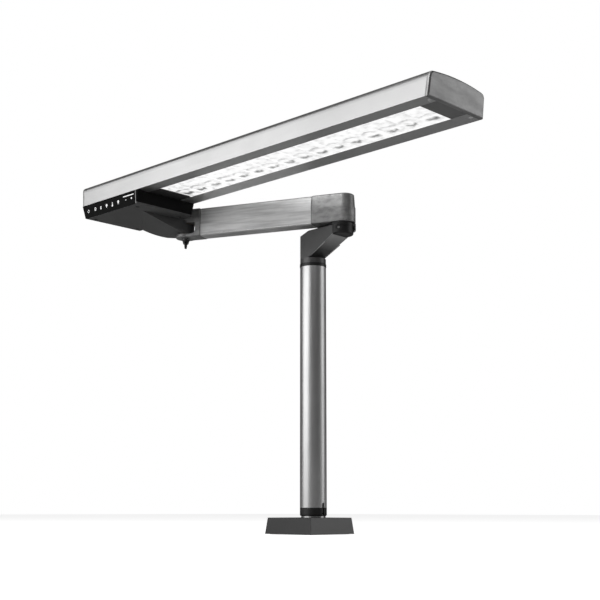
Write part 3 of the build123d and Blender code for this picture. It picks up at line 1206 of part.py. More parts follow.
with BuildPart() as control_cover:
    add(box_frustum(BOX_FOOT_Z, COVER_PLATE_TOP_Z, 0))
    add(front_slab(BOX_TOP[0], trim_x[1], PANEL_THICK, SEAM), mode=Mode.SUBTRACT)
    add(fairing.part)
    with BuildSketch(Plane.XY.offset(BOX_FOOT_Z)):
        with Locations(*post_spots):
            Circle(BOX_POST_R)
    extrude(amount=BOX_POST_TOP_Z - BOX_FOOT_Z)
    add(
        tube(RELIEF_R, 0, KNUCKLE_Z[1], HEAD_BOTTOM_Z, (FRONT_X, FRONT_Y)),
        mode=Mode.SUBTRACT,
    )
    with BuildSketch(Plane.XY.offset(KNUCKLE_Z[1])):
        with Locations((FRONT_X, FRONT_Y)):
            Circle(RELIEF_FAR_R)
        with Locations((FRONT_X, FRONT_Y - RELIEF_FAR_R / 2)):
            Rectangle(2 * RELIEF_FAR_R, RELIEF_FAR_R, mode=Mode.SUBTRACT)
    extrude(amount=BOX_FOOT_Z - KNUCKLE_Z[1], mode=Mode.SUBTRACT)
    add(tube(KNUCKLE_R, 0, *KNUCKLE_Z, (FRONT_X, FRONT_Y)))
    add(tube(KNUCKLE_BUSH_R + SEAT, 0, *KNUCKLE_Z, (FRONT_X, FRONT_Y)), mode=Mode.SUBTRACT)
    with BuildSketch(Plane.XY.offset(BOX_FOOT_Z)):
        with Locations(*post_spots):
            Circle(BOX_RECESS_R)
    extrude(amount=BOX_RECESS_DEPTH, mode=Mode.SUBTRACT)
    with BuildSketch(Plane.XY.offset(BOX_FOOT_Z)):
        with Locations(*post_spots):
            Circle(BOX_SCREW_R + SEAT)
    extrude(amount=BOX_POST_TOP_Z - BOX_FOOT_Z, mode=Mode.SUBTRACT)
control_cover.part.label = "control_cover"
export_step(control_cover.part, "parts/control_cover.step")

with BuildPart() as control_screws:
    recess_top_z = BOX_FOOT_Z + BOX_RECESS_DEPTH
    with BuildSketch(Plane.XY.offset(recess_top_z)):
        with Locations(*post_spots):
            Circle(BOX_RECESS_R - SEAM)
            RegularPolygon(BOX_SCREW_R, 6, mode=Mode.SUBTRACT)
    extrude(amount=-BOX_SCREW_HEAD)
    with BuildSketch(Plane.XY.offset(recess_top_z - BOX_SCREW_HEAD / 2)):
        with Locations(*post_spots):
            Circle(BOX_SCREW_R)
    extrude(amount=BOX_SCREW_LENGTH)
control_screws.part.label = "control_screws"
export_step(control_screws.part, "parts/control_screws.step")

knuckle_bush = tube(KNUCKLE_BUSH_R, BOLT_R + RUN, *KNUCKLE_Z, (FRONT_X, FRONT_Y))
knuckle_bush.label = "knuckle_bush"
export_step(knuckle_bush, "parts/knuckle_bush.step")

with BuildPart() as knuckle_washers:
    for low, high in ((KNUCKLE_Z[1], FORK_GAP_Z[1]), (FORK_GAP_Z[0], KNUCKLE_Z[0])):
        add(tube(KNUCKLE_WASHER_R, BOLT_R + RUN, low + SEAM, high - SEAM, (FRONT_X, FRONT_Y)))
knuckle_washers.part.label = "knuckle_washers"
export_step(knuckle_washers.part, "parts/knuckle_washers.step")

# ================================================================ driver, in the head above the box
driver_x, driver_y, driver_thick = DRIVER_BOARD
driver_top_z = DRIVER_BOARD_Z + driver_thick
standoff_spots = [
    (DRIVER_MID_X + sx * STANDOFF_PITCH[0] / 2, HEAD_MID_Y + sy * STANDOFF_PITCH[1] / 2)
    for sx in (-1, 1)
    for sy in (-1, 1)
]

with BuildPart() as driver_board:
    with BuildSketch(Plane.XY.offset(DRIVER_BOARD_Z)):
        with Locations((DRIVER_MID_X, HEAD_MID_Y)):
            Rectangle(driver_x, driver_y)
    extrude(amount=driver_thick)
driver_board.part.label = "driver_board"
export_step(driver_board.part, "parts/driver_board.step")

with BuildPart() as driver_standoffs:
    with BuildSketch(Plane.XY.offset(LENS_TOP_Z)):
        with Locations(*standoff_spots):
            Circle(STANDOFF_R)
    extrude(amount=DRIVER_BOARD_Z - LENS_TOP_Z)
driver_standoffs.part.label = "driver_standoffs"
export_step(driver_standoffs.part, "parts/driver_standoffs.step")

coil_x, coil_y, coil_z = COIL
with BuildPart() as driver_coil:
    with BuildSketch(Plane.XY.offset(driver_top_z)):
        with Locations((DRIVER_MID_X + COIL_SPOT[0], HEAD_MID_Y + COIL_SPOT[1])):
            RectangleRounded(coil_x, coil_y, BASE_CORNER)
    extrude(amount=coil_z)
driver_coil.part.label = "driver_coil"
export_step(driver_coil.part, "parts/driver_coil.step")

with BuildPart() as driver_capacitors:
    with BuildSketch(Plane.XY.offset(driver_top_z)):
        with Locations(*[(DRIVER_MID_X + x, HEAD_MID_Y + y) for x, y in CAPACITOR_SPOTS]):
            Circle(CAPACITOR_R)
    extrude(amount=CAPACITOR_HEIGHT)
driver_capacitors.part.label = "driver_capacitors"
export_step(driver_capacitors.part, "parts/driver_capacitors.step")
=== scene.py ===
import json
from math import cos, hypot, pi, radians, sin

import bmesh
import bpy
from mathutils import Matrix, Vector


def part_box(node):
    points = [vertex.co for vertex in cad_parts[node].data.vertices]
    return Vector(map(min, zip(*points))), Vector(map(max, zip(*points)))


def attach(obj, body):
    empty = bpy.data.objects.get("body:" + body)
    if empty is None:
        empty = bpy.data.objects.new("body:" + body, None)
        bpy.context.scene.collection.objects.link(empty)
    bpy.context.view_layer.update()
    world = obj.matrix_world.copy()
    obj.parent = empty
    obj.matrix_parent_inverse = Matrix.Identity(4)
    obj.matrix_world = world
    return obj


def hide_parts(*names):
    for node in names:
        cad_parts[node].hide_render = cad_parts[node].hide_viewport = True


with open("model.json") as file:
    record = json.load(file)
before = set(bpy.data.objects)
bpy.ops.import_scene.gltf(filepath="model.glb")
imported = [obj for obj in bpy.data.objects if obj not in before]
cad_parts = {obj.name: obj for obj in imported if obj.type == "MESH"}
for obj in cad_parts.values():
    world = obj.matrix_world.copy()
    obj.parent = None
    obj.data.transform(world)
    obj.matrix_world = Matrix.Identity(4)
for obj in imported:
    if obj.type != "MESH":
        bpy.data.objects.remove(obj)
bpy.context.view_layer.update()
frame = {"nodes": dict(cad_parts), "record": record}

# Looks of the articulated LED workplace lamp. Metres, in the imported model's frame:
# the pole axis is Z, the head lies along X and its touch panel faces -Y.

nodes = frame["nodes"]
MM = 0.001


# ================================================================ camera and light
CAMERA_PLACE = (1.0020, -1.0553, 0.0301)
CAMERA_TURN = (radians(100.829), radians(-0.06), radians(44.2))
CAMERA_LENS = 66.0
WORLD_STRENGTH = 0.10
LIGHT_AIM_HEIGHT = 0.3
LIGHTS = (  # name, bearing, distance, height, size and power
    ("key", -71.5, 1.9, 0.68, (2.0, 1.3), 13.2),
    ("rim", 91, 1.9, 0.66, (1.1, 1.5), 5.4),
    ("beam", -42, 1.9, 1.75, (0.8, 1.4), 21),
    ("top", -20, 0.4, 2.4, (1.4, 1.0), 5),
)


def make_camera():
    camera = bpy.data.objects.new("camera", bpy.data.cameras.new("camera"))
    camera.location = CAMERA_PLACE
    camera.rotation_euler = CAMERA_TURN
    camera.data.lens = CAMERA_LENS
    camera.data.sensor_width = 36.0
    camera.data.clip_start = 0.01
    camera.data.clip_end = 50.0
    bpy.context.scene.collection.objects.link(camera)
    bpy.context.scene.camera = camera


def softbox(name, bearing, distance, height, size, power):
    """Soft rectangular light. Bearing 0 is on the camera's side, 90 to its right."""
    turn = CAMERA_TURN[2] - pi / 2 + radians(bearing)
    place = Vector((cos(turn) * distance, sin(turn) * distance, height))
    light = bpy.data.objects.new(name, bpy.data.lights.new(name, "AREA"))
    light.data.shape = "RECTANGLE"
    light.data.size, light.data.size_y = size
    light.data.energy = power
    light.location = place
    aim = Vector((0, 0, LIGHT_AIM_HEIGHT)) - place
    light.rotation_euler = aim.to_track_quat("-Z", "Y").to_euler()
    bpy.context.scene.collection.objects.link(light)


def make_world():
    """White backdrop to the camera, a dim even room to everything else."""
    world = bpy.data.worlds.new("studio")
    bpy.context.scene.world = world
    world.use_nodes = True
    tree = world.node_tree
    background = tree.nodes["Background"]
    background.inputs["Color"].default_value = (0.9, 0.9, 0.9, 1)
    background.inputs["Strength"].default_value = WORLD_STRENGTH
    seen = tree.nodes.new("ShaderNodeBackground")
    seen.inputs["Color"].default_value = (1, 1, 1, 1)
    seen.inputs["Strength"].default_value = 1.0
    path = tree.nodes.new("ShaderNodeLightPath")
    mix = tree.nodes.new("ShaderNodeMixShader")
    tree.links.new(path.outputs["Is Camera Ray"], mix.inputs["Fac"])
    tree.links.new(background.outputs["Background"], mix.inputs[1])
    tree.links.new(seen.outputs["Background"], mix.inputs[2])
    tree.links.new(mix.outputs["Shader"], tree.nodes["World Output"].inputs["Surface"])
    bpy.context.scene.view_settings.view_transform = "Standard"


# ================================================================ materials
NOISE_LOW, NOISE_HIGH = 0.3, 0.7  # share of the noise's range that does the work
MOTTLE_SCALE = 80
BRUSH_SCALE = 900
BRUSH_DEPTH = 0.00004
BLACK_GLASS_MIRROR = 0.02
def material(name, **values):
    """A Principled material with constant values on its own sockets; returns it with its nodes."""
    made = bpy.data.materials.new(name)
    made.use_nodes = True
    shader = made.node_tree.nodes["Principled BSDF"]
    for socket, value in values.items():
        shader.inputs[socket.replace("_", " ")].default_value = value
    return made


def grey(level):
    return (level, level, level, 1)


def grain(made, scale, detail=4.0, stretch=(1, 1, 1), roughness=0.55):
    """Noise over the object's own coordinates, stretched along its axes."""
    tree = made.node_tree
    where = tree.nodes.new("ShaderNodeTexCoord")
    mapping = tree.nodes.new("ShaderNodeMapping")
    mapping.inputs["Scale"].default_value = stretch
    noise = tree.nodes.new("ShaderNodeTexNoise")
    noise.inputs["Scale"].default_value = scale
    noise.inputs["Detail"].default_value = detail
    noise.inputs["Roughness"].default_value = roughness
    tree.links.new(where.outputs["Object"], mapping.inputs["Vector"])
    tree.links.new(mapping.outputs["Vector"], noise.inputs["Vector"])
    return noise.outputs["Fac"]


def to_range(made, source, socket, low, high):
    """Drives a shader socket between two numbers."""
    tree = made.node_tree
    spread = tree.nodes.new("ShaderNodeMapRange")
    spread.inputs["From Min"].default_value = NOISE_LOW
    spread.inputs["From Max"].default_value = NOISE_HIGH
    spread.inputs["To Min"].default_value = low
    spread.inputs["To Max"].default_value = high
    tree.links.new(source, spread.inputs["Value"])
    tree.links.new(spread.outputs["Result"], tree.nodes["Principled BSDF"].inputs[socket])


def to_colour(made, source, low, high):
    """Drives the base colour between two colours."""
    tree = made.node_tree
    ramp = tree.nodes.new("ShaderNodeValToRGB")
    ramp.color_ramp.elements[0].position = NOISE_LOW
    ramp.color_ramp.elements[0].color = low
    ramp.color_ramp.elements[1].position = NOISE_HIGH
    ramp.color_ramp.elements[1].color = high
    tree.links.new(source, ramp.inputs["Fac"])
    tree.links.new(ramp.outputs["Color"], tree.nodes["Principled BSDF"].inputs["Base Color"])


def to_bump(made, source, strength, depth):
    tree = made.node_tree
    bump = tree.nodes.new("ShaderNodeBump")
    bump.inputs["Strength"].default_value = strength
    bump.inputs["Distance"].default_value = depth
    tree.links.new(source, bump.inputs["Height"])
    tree.links.new(bump.outputs["Normal"], tree.nodes["Principled BSDF"].inputs["Normal"])


def calc(tree, operation, *values, clamp=False):
    """One math node; each value is a number or another node's output."""
    node = tree.nodes.new("ShaderNodeMath")
    node.operation = operation
    node.use_clamp = clamp
    for k, value in enumerate(values):
        if isinstance(value, (int, float)):
            node.inputs[k].default_value = value
        else:
            tree.links.new(value, node.inputs[k])
    return node.outputs[0]


def brushed(name, level, roughness, stretch):
    """Satin metal with a fine directional grain and slow tonal drift."""
    made = material(name, Metallic=1.0)
    lines = grain(made, BRUSH_SCALE, 3, stretch)
    drift = grain(made, 14, 2)
    to_range(made, lines, "Roughness", roughness - 0.05, roughness + 0.06)
    to_colour(made, drift, grey(level * 0.95), grey(level * 1.04))
    to_bump(made, lines, 0.12, BRUSH_DEPTH)
    return made


def painted(name, level, roughness, speckle, metallic=0.0, depth=0.00006):
    """Powder coat: a fine orange-peel surface with slight tonal speckle."""
    made = material(name, Metallic=metallic)
    peel = grain(made, speckle, 3)
    drift = grain(made, 35, 3)
    to_range(made, peel, "Roughness", roughness - 0.07, roughness + 0.07)
    to_colour(made, drift, grey(level * 0.93), grey(level * 1.07))
    to_bump(made, peel, 0.35, depth)
    return made


def moulded(name, level, roughness, speckle=1400, depth=0.00005):
    """Moulded plastic with a fine spark-eroded grain."""
    made = material(name)
    texture = grain(made, speckle, 2)
    drift = grain(made, 60, 2)
    to_range(made, texture, "Roughness", roughness - 0.05, roughness + 0.05)
    to_colour(made, drift, grey(level * 0.9), grey(level * 1.1))
    to_bump(made, texture, 0.3, depth)
    return made


def tinted(name, low, high, roughness, metallic=0.0):
    """Plain coloured material for the inner pieces, with slight mottling."""
    made = material(name, Metallic=metallic)
    mottle = grain(made, MOTTLE_SCALE, 3)
    to_colour(made, mottle, low, high)
    to_range(made, mottle, "Roughness", roughness - 0.05, roughness + 0.05)
    return made


def subdued(made):
    """Cuts a dark finish's mirror reflection, as on coated glass."""
    shader = made.node_tree.nodes["Principled BSDF"]
    shader.inputs["Specular IOR Level"].default_value = BLACK_GLASS_MIRROR
    return made


STREAK_GREY = 0.10
STREAK_GAIN, STREAK_BIAS = 3.2, -1.25
SLOPE_GAIN, SLOPE_BIAS = 3.0, -1.4  # painted light grows with a piece's reach along X
DOWNWARD_GAIN, DOWNWARD_BIAS = -2.0, -0.6
# painted light on the side that faces +X
FLANK_GAIN, FLANK_BIAS = 2.0, -0.8
SIDE_GAIN = 1.5
SHOULDER_SHADE = (0.58, 0.90)  # shares of the head's height where the painted shade starts and is full
PAINTED_SHOULDER_GREY = 0.27


def streaked(made, stretch, scale, depth):
    """Lays darker streaks or blotches over a finish's colour, as left by linishing."""
    tree = made.node_tree
    noise = grain(made, scale, 3, stretch)
    streak = calc(tree, "MULTIPLY_ADD", noise, STREAK_GAIN, STREAK_BIAS, clamp=True)
    return mixed_in(made, calc(tree, "MULTIPLY", streak, depth), STREAK_GREY)


def mixed_in(made, share, tone):
    """Mixes a grey into a finish's colour by a share between 0 and 1."""
    tree = made.node_tree
    shader = tree.nodes["Principled BSDF"]
    mix = tree.nodes.new("ShaderNodeMix")
    mix.data_type = "RGBA"
    tree.links.new(share, mix.inputs["Factor"])
    tree.links.new(shader.inputs["Base Color"].links[0].from_socket, mix.inputs["A"])
    mix.inputs["B"].default_value = grey(tone)
    tree.links.new(mix.outputs["Result"], shader.inputs["Base Color"])
    return made


def surface(made):
    """A piece's own coordinates, as shares of its box, and its own normals, split into X, Y and Z."""
    tree = made.node_tree
    where = tree.nodes.new("ShaderNodeTexCoord")
    found = []
    for output in ("Generated", "Normal"):
        split = tree.nodes.new("ShaderNodeSeparateXYZ")
        tree.links.new(where.outputs[output], split.inputs["Vector"])
        found.append(split.outputs)
    return found


def painted_slope_light(made, tone):
    """Paints light onto a casting's slanted underside, stronger towards its outer end: painted light
    standing in for the floor's reflection.
    """
    tree = made.node_tree
    place, facing = surface(made)
    reach = calc(tree, "MULTIPLY_ADD", place["X"], SLOPE_GAIN, SLOPE_BIAS, clamp=True)
    slanted = calc(tree, "MULTIPLY_ADD", facing["Z"], DOWNWARD_GAIN, DOWNWARD_BIAS, clamp=True)
    return mixed_in(made, calc(tree, "MULTIPLY", reach, slanted), tone)


def painted_flank_light(made, tone):
    """Paints light onto the side that faces +X: a painted highlight standing in for the light from the
    right.
    """
    _, facing = surface(made)
    rightward = calc(made.node_tree, "MULTIPLY_ADD", facing["X"], FLANK_GAIN, FLANK_BIAS, clamp=True)
    return mixed_in(made, rightward, tone)


def painted_shoulder_shade(made):
    """Paints shade on the upper part of a long side towards its rounded shoulder, but not on the top:
    painted shade standing in for the reflection falling off there.
    """
    tree = made.node_tree
    place, facing = surface(made)
    low, high = SHOULDER_SHADE
    climb = calc(tree, "MULTIPLY_ADD", place["Z"], 1 / (high - low), -low / (high - low), clamp=True)
    sideways = calc(tree, "MULTIPLY", calc(tree, "ABSOLUTE", facing["Y"]), SIDE_GAIN, clamp=True)
    return mixed_in(made, calc(tree, "MULTIPLY", climb, sideways), PAINTED_SHOULDER_GREY)


ALONG_X = (0.02, 1, 1)
ALONG_Z = (1, 1, 0.02)
ALONG_ARM = (0.06, 0.06, 1)


def slot_materials():
    """One finish for each of the record's material slots."""
    beam_coat = painted("arm_silver", 0.73, 0.42, 1600, metallic=0.75)
    casting_coat = painted("arm_casting", 0.39, 0.42, 900, metallic=0.6, depth=0.0001)
    cap_coat = painted("cap_grey", 0.38, 0.40, 500, metallic=0.9, depth=0.0002)
    return {
        # foot: painted light on its +X side
        "foot_paint": painted_flank_light(painted("foot_paint", 0.018, 0.40, 1500), 0.17),
        "zinc_steel": brushed("zinc_steel", 0.55, 0.35, (1, 1, 1)),
        "foot_rubber": moulded("foot_rubber", 0.02, 0.8),
        "screw_steel": brushed("screw_steel", 0.30, 0.32, (1, 1, 1)),
        "bright_screw": brushed("bright_screw", 0.85, 0.3, (1, 1, 1)),
        "turned_steel": brushed("turned_steel", 0.52, 0.28, (1, 1, 1)),
        "black_plastic": moulded("black_plastic", 0.012, 0.42),
        "pole_silver": brushed("pole_silver", 0.64, 0.35, ALONG_Z),
        # bracket: painted light on its slanted underside
        "bracket_paint": painted_slope_light(painted("bracket_paint", 0.11, 0.36, 1300, metallic=0.4), 0.6),
        "arm_silver": streaked(beam_coat, ALONG_ARM, 260, 0.40),
        "arm_casting": streaked(casting_coat, (1, 1, 1.6), 95, 0.55),
        "bearing_bronze": tinted("bearing_bronze", (0.42, 0.27, 0.12, 1), (0.52, 0.34, 0.16, 1), 0.4, 1.0),
        # head: painted shade on the upper part of its long sides
        "head_silver": painted_shoulder_shade(brushed("head_silver", 0.66, 0.36, ALONG_X)),
        "cap_grey": streaked(cap_coat, (1, 0.25, 1), 120, 0.35),
        "filler_grey": painted("filler_grey", 0.22, 0.40, 1500, metallic=0.3),
        "lens_clear": tinted("lens_clear", grey(0.85), grey(0.95), 0.15),
        "tray_white": tinted("tray_white", grey(0.8), grey(0.9), 0.3),
        "led_yellow": tinted("led_yellow", (0.8, 0.6, 0.1, 1), (0.9, 0.7, 0.2, 1), 0.4),
        "box_paint": subdued(painted("box_paint", 0.012, 0.30, 1500)),
        "cover_paint": painted("cover_paint", 0.075, 0.40, 1500),
        "panel_gloss": subdued(moulded("panel_gloss", 0.003, 0.15, 200, 0.000002)),
        "trim_silver": brushed("trim_silver", 0.28, 0.3, ALONG_Z),
        "board_green": tinted("board_green", (0.01, 0.10, 0.03, 1), (0.015, 0.14, 0.05, 1), 0.3),
        "coil_yellow": tinted("coil_yellow", (0.5, 0.36, 0.03, 1), (0.6, 0.45, 0.06, 1), 0.4),
        "capacitor_sleeve": tinted("capacitor_sleeve", (0.01, 0.015, 0.05, 1), (0.02, 0.025, 0.08, 1), 0.3),
    }


def dress_nodes():
    finishes = slot_materials()
    for part in frame["record"]["subparts"]:
        piece = nodes[part["node"]]
        piece.data.materials.clear()
        piece.data.materials.append(finishes[part["material_slot"]])
    # filler_left gets a near-black copy of the filler paint: painted shadow cast by the control box.
    nodes["filler_left"].data.materials[0] = painted("filler_painted_shadow", 0.02, 0.55, 1500)
    return finishes


# ================================================================ floor
FLOOR_HALF = 6.0
FLOOR_DROP = 0.0002
FLOOR_GLOW = 0.8
FLOOR_BOUNCE = 0.54


def make_floor():
    """Pale paper floor. It looks pale to the camera, but throws little light up at the lamp's underside."""
    mesh = bpy.data.meshes.new("floor")
    half = FLOOR_HALF
    corners = [(x, y, -FLOOR_DROP) for x, y in ((-half, -half), (half, -half), (half, half), (-half, half))]
    mesh.from_pydata(corners, [], [(0, 1, 2, 3)])
    floor = bpy.data.objects.new("floor", mesh)
    bpy.context.scene.collection.objects.link(floor)
    paper = material("floor_paper", Roughness=0.7, Emission_Color=grey(1), Emission_Strength=FLOOR_GLOW)
    to_colour(paper, grain(paper, 3, 2), grey(0.88), grey(0.90))
    tree = paper.node_tree
    dim = tree.nodes.new("ShaderNodeBsdfDiffuse")
    dim.inputs["Color"].default_value = grey(FLOOR_BOUNCE)
    path = tree.nodes.new("ShaderNodeLightPath")
    mix = tree.nodes.new("ShaderNodeMixShader")
    tree.links.new(path.outputs["Is Camera Ray"], mix.inputs["Fac"])
    tree.links.new(dim.outputs["BSDF"], mix.inputs[1])
    tree.links.new(tree.nodes["Principled BSDF"].outputs["BSDF"], mix.inputs[2])
    tree.links.new(mix.outputs["Shader"], tree.nodes["Material Output"].inputs["Surface"])
    mesh.materials.append(paper)


# ================================================================ lens optics
LENS_PLATE_END = 2.5 * MM  # how far the plate reaches past the window at its ends
LENS_PLATE_SIDE = 4.2 * MM  # the same at its sides
LENS_SEAM = 0.1 * MM
LENS_RELIEF = 2.0 * MM  # pad's face to the flanges' upper side
CELLS = 16
CELL_STEPS = (20, 40)  # mesh divisions of a cell along X and Y
SPOT_OFFSET = 9.0 * MM  # each chip's spot from the window's centre line, away from the panel
SPOT_R = 4.4 * MM
GROOVE_DEPTH = 0.9 * MM
CRATER_DEPTH = 1.1 * MM
CRATER_RIM = 0.35 * MM
PILLOW_START = 0.55  # share of a cell's half pitch where its edge begins to fall
LENS_LIGHT = 0.95
LENS_DARKEST = 0.12
WANDER = 10.0 * MM  # how far noise bends the rings about a chip, in all
WANDER_SCALE = 110
CRESCENT_R, CRESCENT_WIDTH, CRESCENT_SHARE = 1.2 * SPOT_R, 4.6 * MM, 0.85
HALO_R, HALO_WIDTH, HALO_SHARE = 2.7 * SPOT_R, 3.4 * MM, 0.5
LINE_SHARE = 0.10
BLOTCH_SCALE, BLOTCH_GAIN, BLOTCH_BIAS, BLOTCH_SHARE = 105, 2.4, -1.05, 0.55
NEAR_BOX_CELLS = 3  # cells beside the control box that show more contrast
NEAR_BOX_GAIN = 0.7


def lens_window():
    """The window that the lens pad fills: x low, x high, y low, y high, face height and top height."""
    low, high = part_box("lens_plate")
    return (
        low[0] + LENS_PLATE_END + LENS_SEAM,
        high[0] - LENS_PLATE_END - LENS_SEAM,
        low[1] + LENS_PLATE_SIDE + LENS_SEAM,
        high[1] - LENS_PLATE_SIDE - LENS_SEAM,
        low[2],
        high[2],
    )


def lens_depth(u, v, pitch):
    """How far the lens face is sunk at a place in a cell: pillow edges and a crater over the chip."""
    edge = abs(2 * u / pitch)
    pillow = GROOVE_DEPTH * max(0.0, (edge - PILLOW_START) / (1 - PILLOW_START)) ** 2
    away = hypot(u, v - SPOT_OFFSET) / SPOT_R
    crater = CRATER_DEPTH * max(0.0, 1 - away**2)
    rim = CRATER_RIM * max(0.0, 1 - abs(away - 1.25) / 0.25)
    return min(pillow + crater + rim, LENS_RELIEF)


def make_lens():
    """Moulded lens pad: sixteen pillow-shaped cells, each with a crater over its chip, and a plain rim."""
    x0, x1, y0, y1, face_z, top_z = lens_window()
    pitch = (x1 - x0) / CELLS
    across, along = CELL_STEPS[1], CELL_STEPS[0] * CELLS
    mid_y = (y0 + y1) / 2
    bm = bmesh.new()
    face = []
    for i in range(along + 1):
        x = x0 + (x1 - x0) * i / along
        u = (x - x0) % pitch - pitch / 2
        row = []
        for j in range(across + 1):
            y = y0 + (y1 - y0) * j / across
            fade = min(1.0, min(j, across - j) / 2)
            row.append(bm.verts.new((x, y, face_z + lens_depth(u, y - mid_y, pitch) * fade)))
        face.append(row)
    for i in range(along):
        for j in range(across):
            bm.faces.new((face[i][j], face[i][j + 1], face[i + 1][j + 1], face[i + 1][j]))
    rim = [face[i][0] for i in range(along + 1)]
    rim += [face[along][j] for j in range(1, across + 1)]
    rim += [face[i][across] for i in range(along - 1, -1, -1)]
    rim += [face[0][j] for j in range(across - 1, 0, -1)]
    lid = [bm.verts.new((v.co.x, v.co.y, top_z)) for v in rim]
    for k, low in enumerate(rim):
        after = (k + 1) % len(rim)
        bm.faces.new((low, rim[after], lid[after], lid[k]))
    bm.faces.new(lid)
    bmesh.ops.recalc_face_normals(bm, faces=bm.faces)
    lens = finish_piece(bm, "lens_optics", "head", finishes["lens_clear"], smooth=True)
    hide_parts("lens_plate", "lens_domes")


def lens_glow():
    """Lit lens: white, with the dark crescents and faint lines that each cell's optics throw."""
    x0, x1, y0, y1, _, _ = lens_window()
    pitch = (x1 - x0) / CELLS
    made = material("lens_glow", Roughness=0.12, IOR=1.49, Base_Color=grey(0.2))
    made.node_tree.nodes["Principled BSDF"].inputs["Emission Strength"].default_value = LENS_LIGHT
    tree = made.node_tree
    where = tree.nodes.new("ShaderNodeTexCoord")
    split = tree.nodes.new("ShaderNodeSeparateXYZ")
    tree.links.new(where.outputs["Object"], split.inputs["Vector"])
    cell = calc(tree, "FRACT", calc(tree, "DIVIDE", calc(tree, "SUBTRACT", split.outputs["X"], x0), pitch))
    u = calc(tree, "MULTIPLY", calc(tree, "SUBTRACT", cell, 0.5), pitch)
    v = calc(tree, "SUBTRACT", split.outputs["Y"], (y0 + y1) / 2)
    past = calc(tree, "SUBTRACT", v, SPOT_OFFSET)
    away = calc(
        tree, "SQRT", calc(tree, "ADD", calc(tree, "MULTIPLY", u, u), calc(tree, "MULTIPLY", past, past))
    )
    wander = calc(tree, "MULTIPLY_ADD", grain(made, WANDER_SCALE, 2), WANDER, -WANDER / 2)
    away = calc(tree, "ADD", away, wander)

    def band(radius, width):
        """1 on a ring about the chip, falling to 0 at a distance of width from it."""
        off = calc(tree, "ABSOLUTE", calc(tree, "SUBTRACT", away, radius))
        return calc(tree, "SUBTRACT", 1.0, calc(tree, "DIVIDE", off, width), clamp=True)

    far_half = calc(tree, "MULTIPLY_ADD", past, 1 / (4 * MM), 0.45, clamp=True)
    near_half = calc(tree, "MULTIPLY_ADD", v, -1 / (10 * MM), 0.5, clamp=True)
    crescent = calc(tree, "MULTIPLY", band(CRESCENT_R, CRESCENT_WIDTH), far_half)
    halo = calc(tree, "MULTIPLY", band(HALO_R, HALO_WIDTH), near_half)
    edge = calc(tree, "MULTIPLY_ADD", calc(tree, "ABSOLUTE", u), 2 / pitch, -0.84, clamp=True)
    line = calc(tree, "MULTIPLY", calc(tree, "MULTIPLY", edge, 6.0, clamp=True), near_half)
    noise = grain(made, BLOTCH_SCALE, 4)
    blotch = calc(tree, "MULTIPLY_ADD", noise, BLOTCH_GAIN, BLOTCH_BIAS, clamp=True)
    shade = calc(tree, "MULTIPLY", crescent, CRESCENT_SHARE)
    shade = calc(tree, "MULTIPLY_ADD", halo, HALO_SHARE, shade)
    shade = calc(tree, "MULTIPLY_ADD", line, LINE_SHARE, shade)
    shade = calc(tree, "MULTIPLY_ADD", blotch, BLOTCH_SHARE, shade)
    fade = NEAR_BOX_CELLS * pitch
    near_box = calc(tree, "MULTIPLY_ADD", split.outputs["X"], -1 / fade, x0 / fade + 1, clamp=True)
    shade = calc(tree, "MULTIPLY", shade, calc(tree, "MULTIPLY_ADD", near_box, NEAR_BOX_GAIN, 1.0))
    ramp = tree.nodes.new("ShaderNodeValToRGB")
    ramp.color_ramp.elements[0].color = grey(1.0)
    ramp.color_ramp.elements[1].color = grey(LENS_DARKEST)
    tree.links.new(shade, ramp.inputs["Fac"])
    tree.links.new(ramp.outputs["Color"], tree.nodes["Principled BSDF"].inputs["Emission Color"])
    return made


# ================================================================ touch icons
ICON_RISE = 0.12 * MM
ICON_SINK = 0.05 * MM
ICON_STEPS = 20
ICON_GLOW = 0.35
PANEL_LEAN = 1.45 * MM  # how far the panel's top stands out past its foot
ICON_ROW = 8.7  # row of symbols above the panel's foot, mm
RING_AT = 14.0  # symbols' places from the panel's left end, mm
LEVEL_AT = 29.9
ARROW_AT = 42.6
LAMPS_AT = (55.7, 81.9)
STEM_AT = 68.8
MINUS_AT = 98.6
DOT_AT = 110.9
BAR_AT = 104.4


def finish_piece(bm, name, body, finish, smooth=False):
    """Turns a bmesh into a piece that rides on a body and a material."""
    mesh = bpy.data.meshes.new(name)
    bm.to_mesh(mesh)
    bm.free()
    if smooth:
        mesh.polygons.foreach_set("use_smooth", [True] * len(mesh.polygons))
    piece = bpy.data.objects.new(name, mesh)
    bpy.context.scene.collection.objects.link(piece)
    mesh.materials.append(finish)
    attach(piece, body)
    return piece


def panel_frame():
    """Lower near edge of the touch panel and the unit vectors up its face and out of it."""
    low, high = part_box("touch_panel")
    top_y = low[1]
    foot_y = top_y + PANEL_LEAN
    up = Vector((0, top_y - foot_y, high[2] - low[2])).normalized()
    out = Vector((0, -up.z, up.y))
    return Vector((low[0], foot_y, low[2])), up, out


def icon_prism(bm, outline, hole=None):
    """Thin raised shape on the panel. Points are (x, height) in metres; a hole has as many points."""
    foot, up, out = panel_frame()

    def place(point, rise):
        return bm.verts.new(Vector((point[0], foot.y, foot.z)) + up * (point[1] - foot.z) + out * rise)

    loops = [outline] if hole is None else [outline, hole]
    fronts = [[place(q, ICON_RISE) for q in loop] for loop in loops]
    backs = [[place(q, -ICON_SINK) for q in loop] for loop in loops]
    count = len(outline)
    for k in range(count):
        after = (k + 1) % count
        for front, back in zip(fronts, backs):
            bm.faces.new((front[k], front[after], back[after], back[k]))
        if hole is not None:
            for side in (fronts, backs):
                bm.faces.new((side[0][k], side[0][after], side[1][after], side[1][k]))
    if hole is None:
        bm.faces.new(fronts[0])
        bm.faces.new(backs[0])


def disc(centre, radius):
    turns = [2 * pi * k / ICON_STEPS for k in range(ICON_STEPS)]
    return [(centre[0] + radius * cos(t), centre[1] + radius * sin(t)) for t in turns]


def block(centre, width, height):
    x, z = centre
    return [
        (x - width / 2, z - height / 2),
        (x + width / 2, z - height / 2),
        (x + width / 2, z + height / 2),
        (x - width / 2, z + height / 2),
    ]


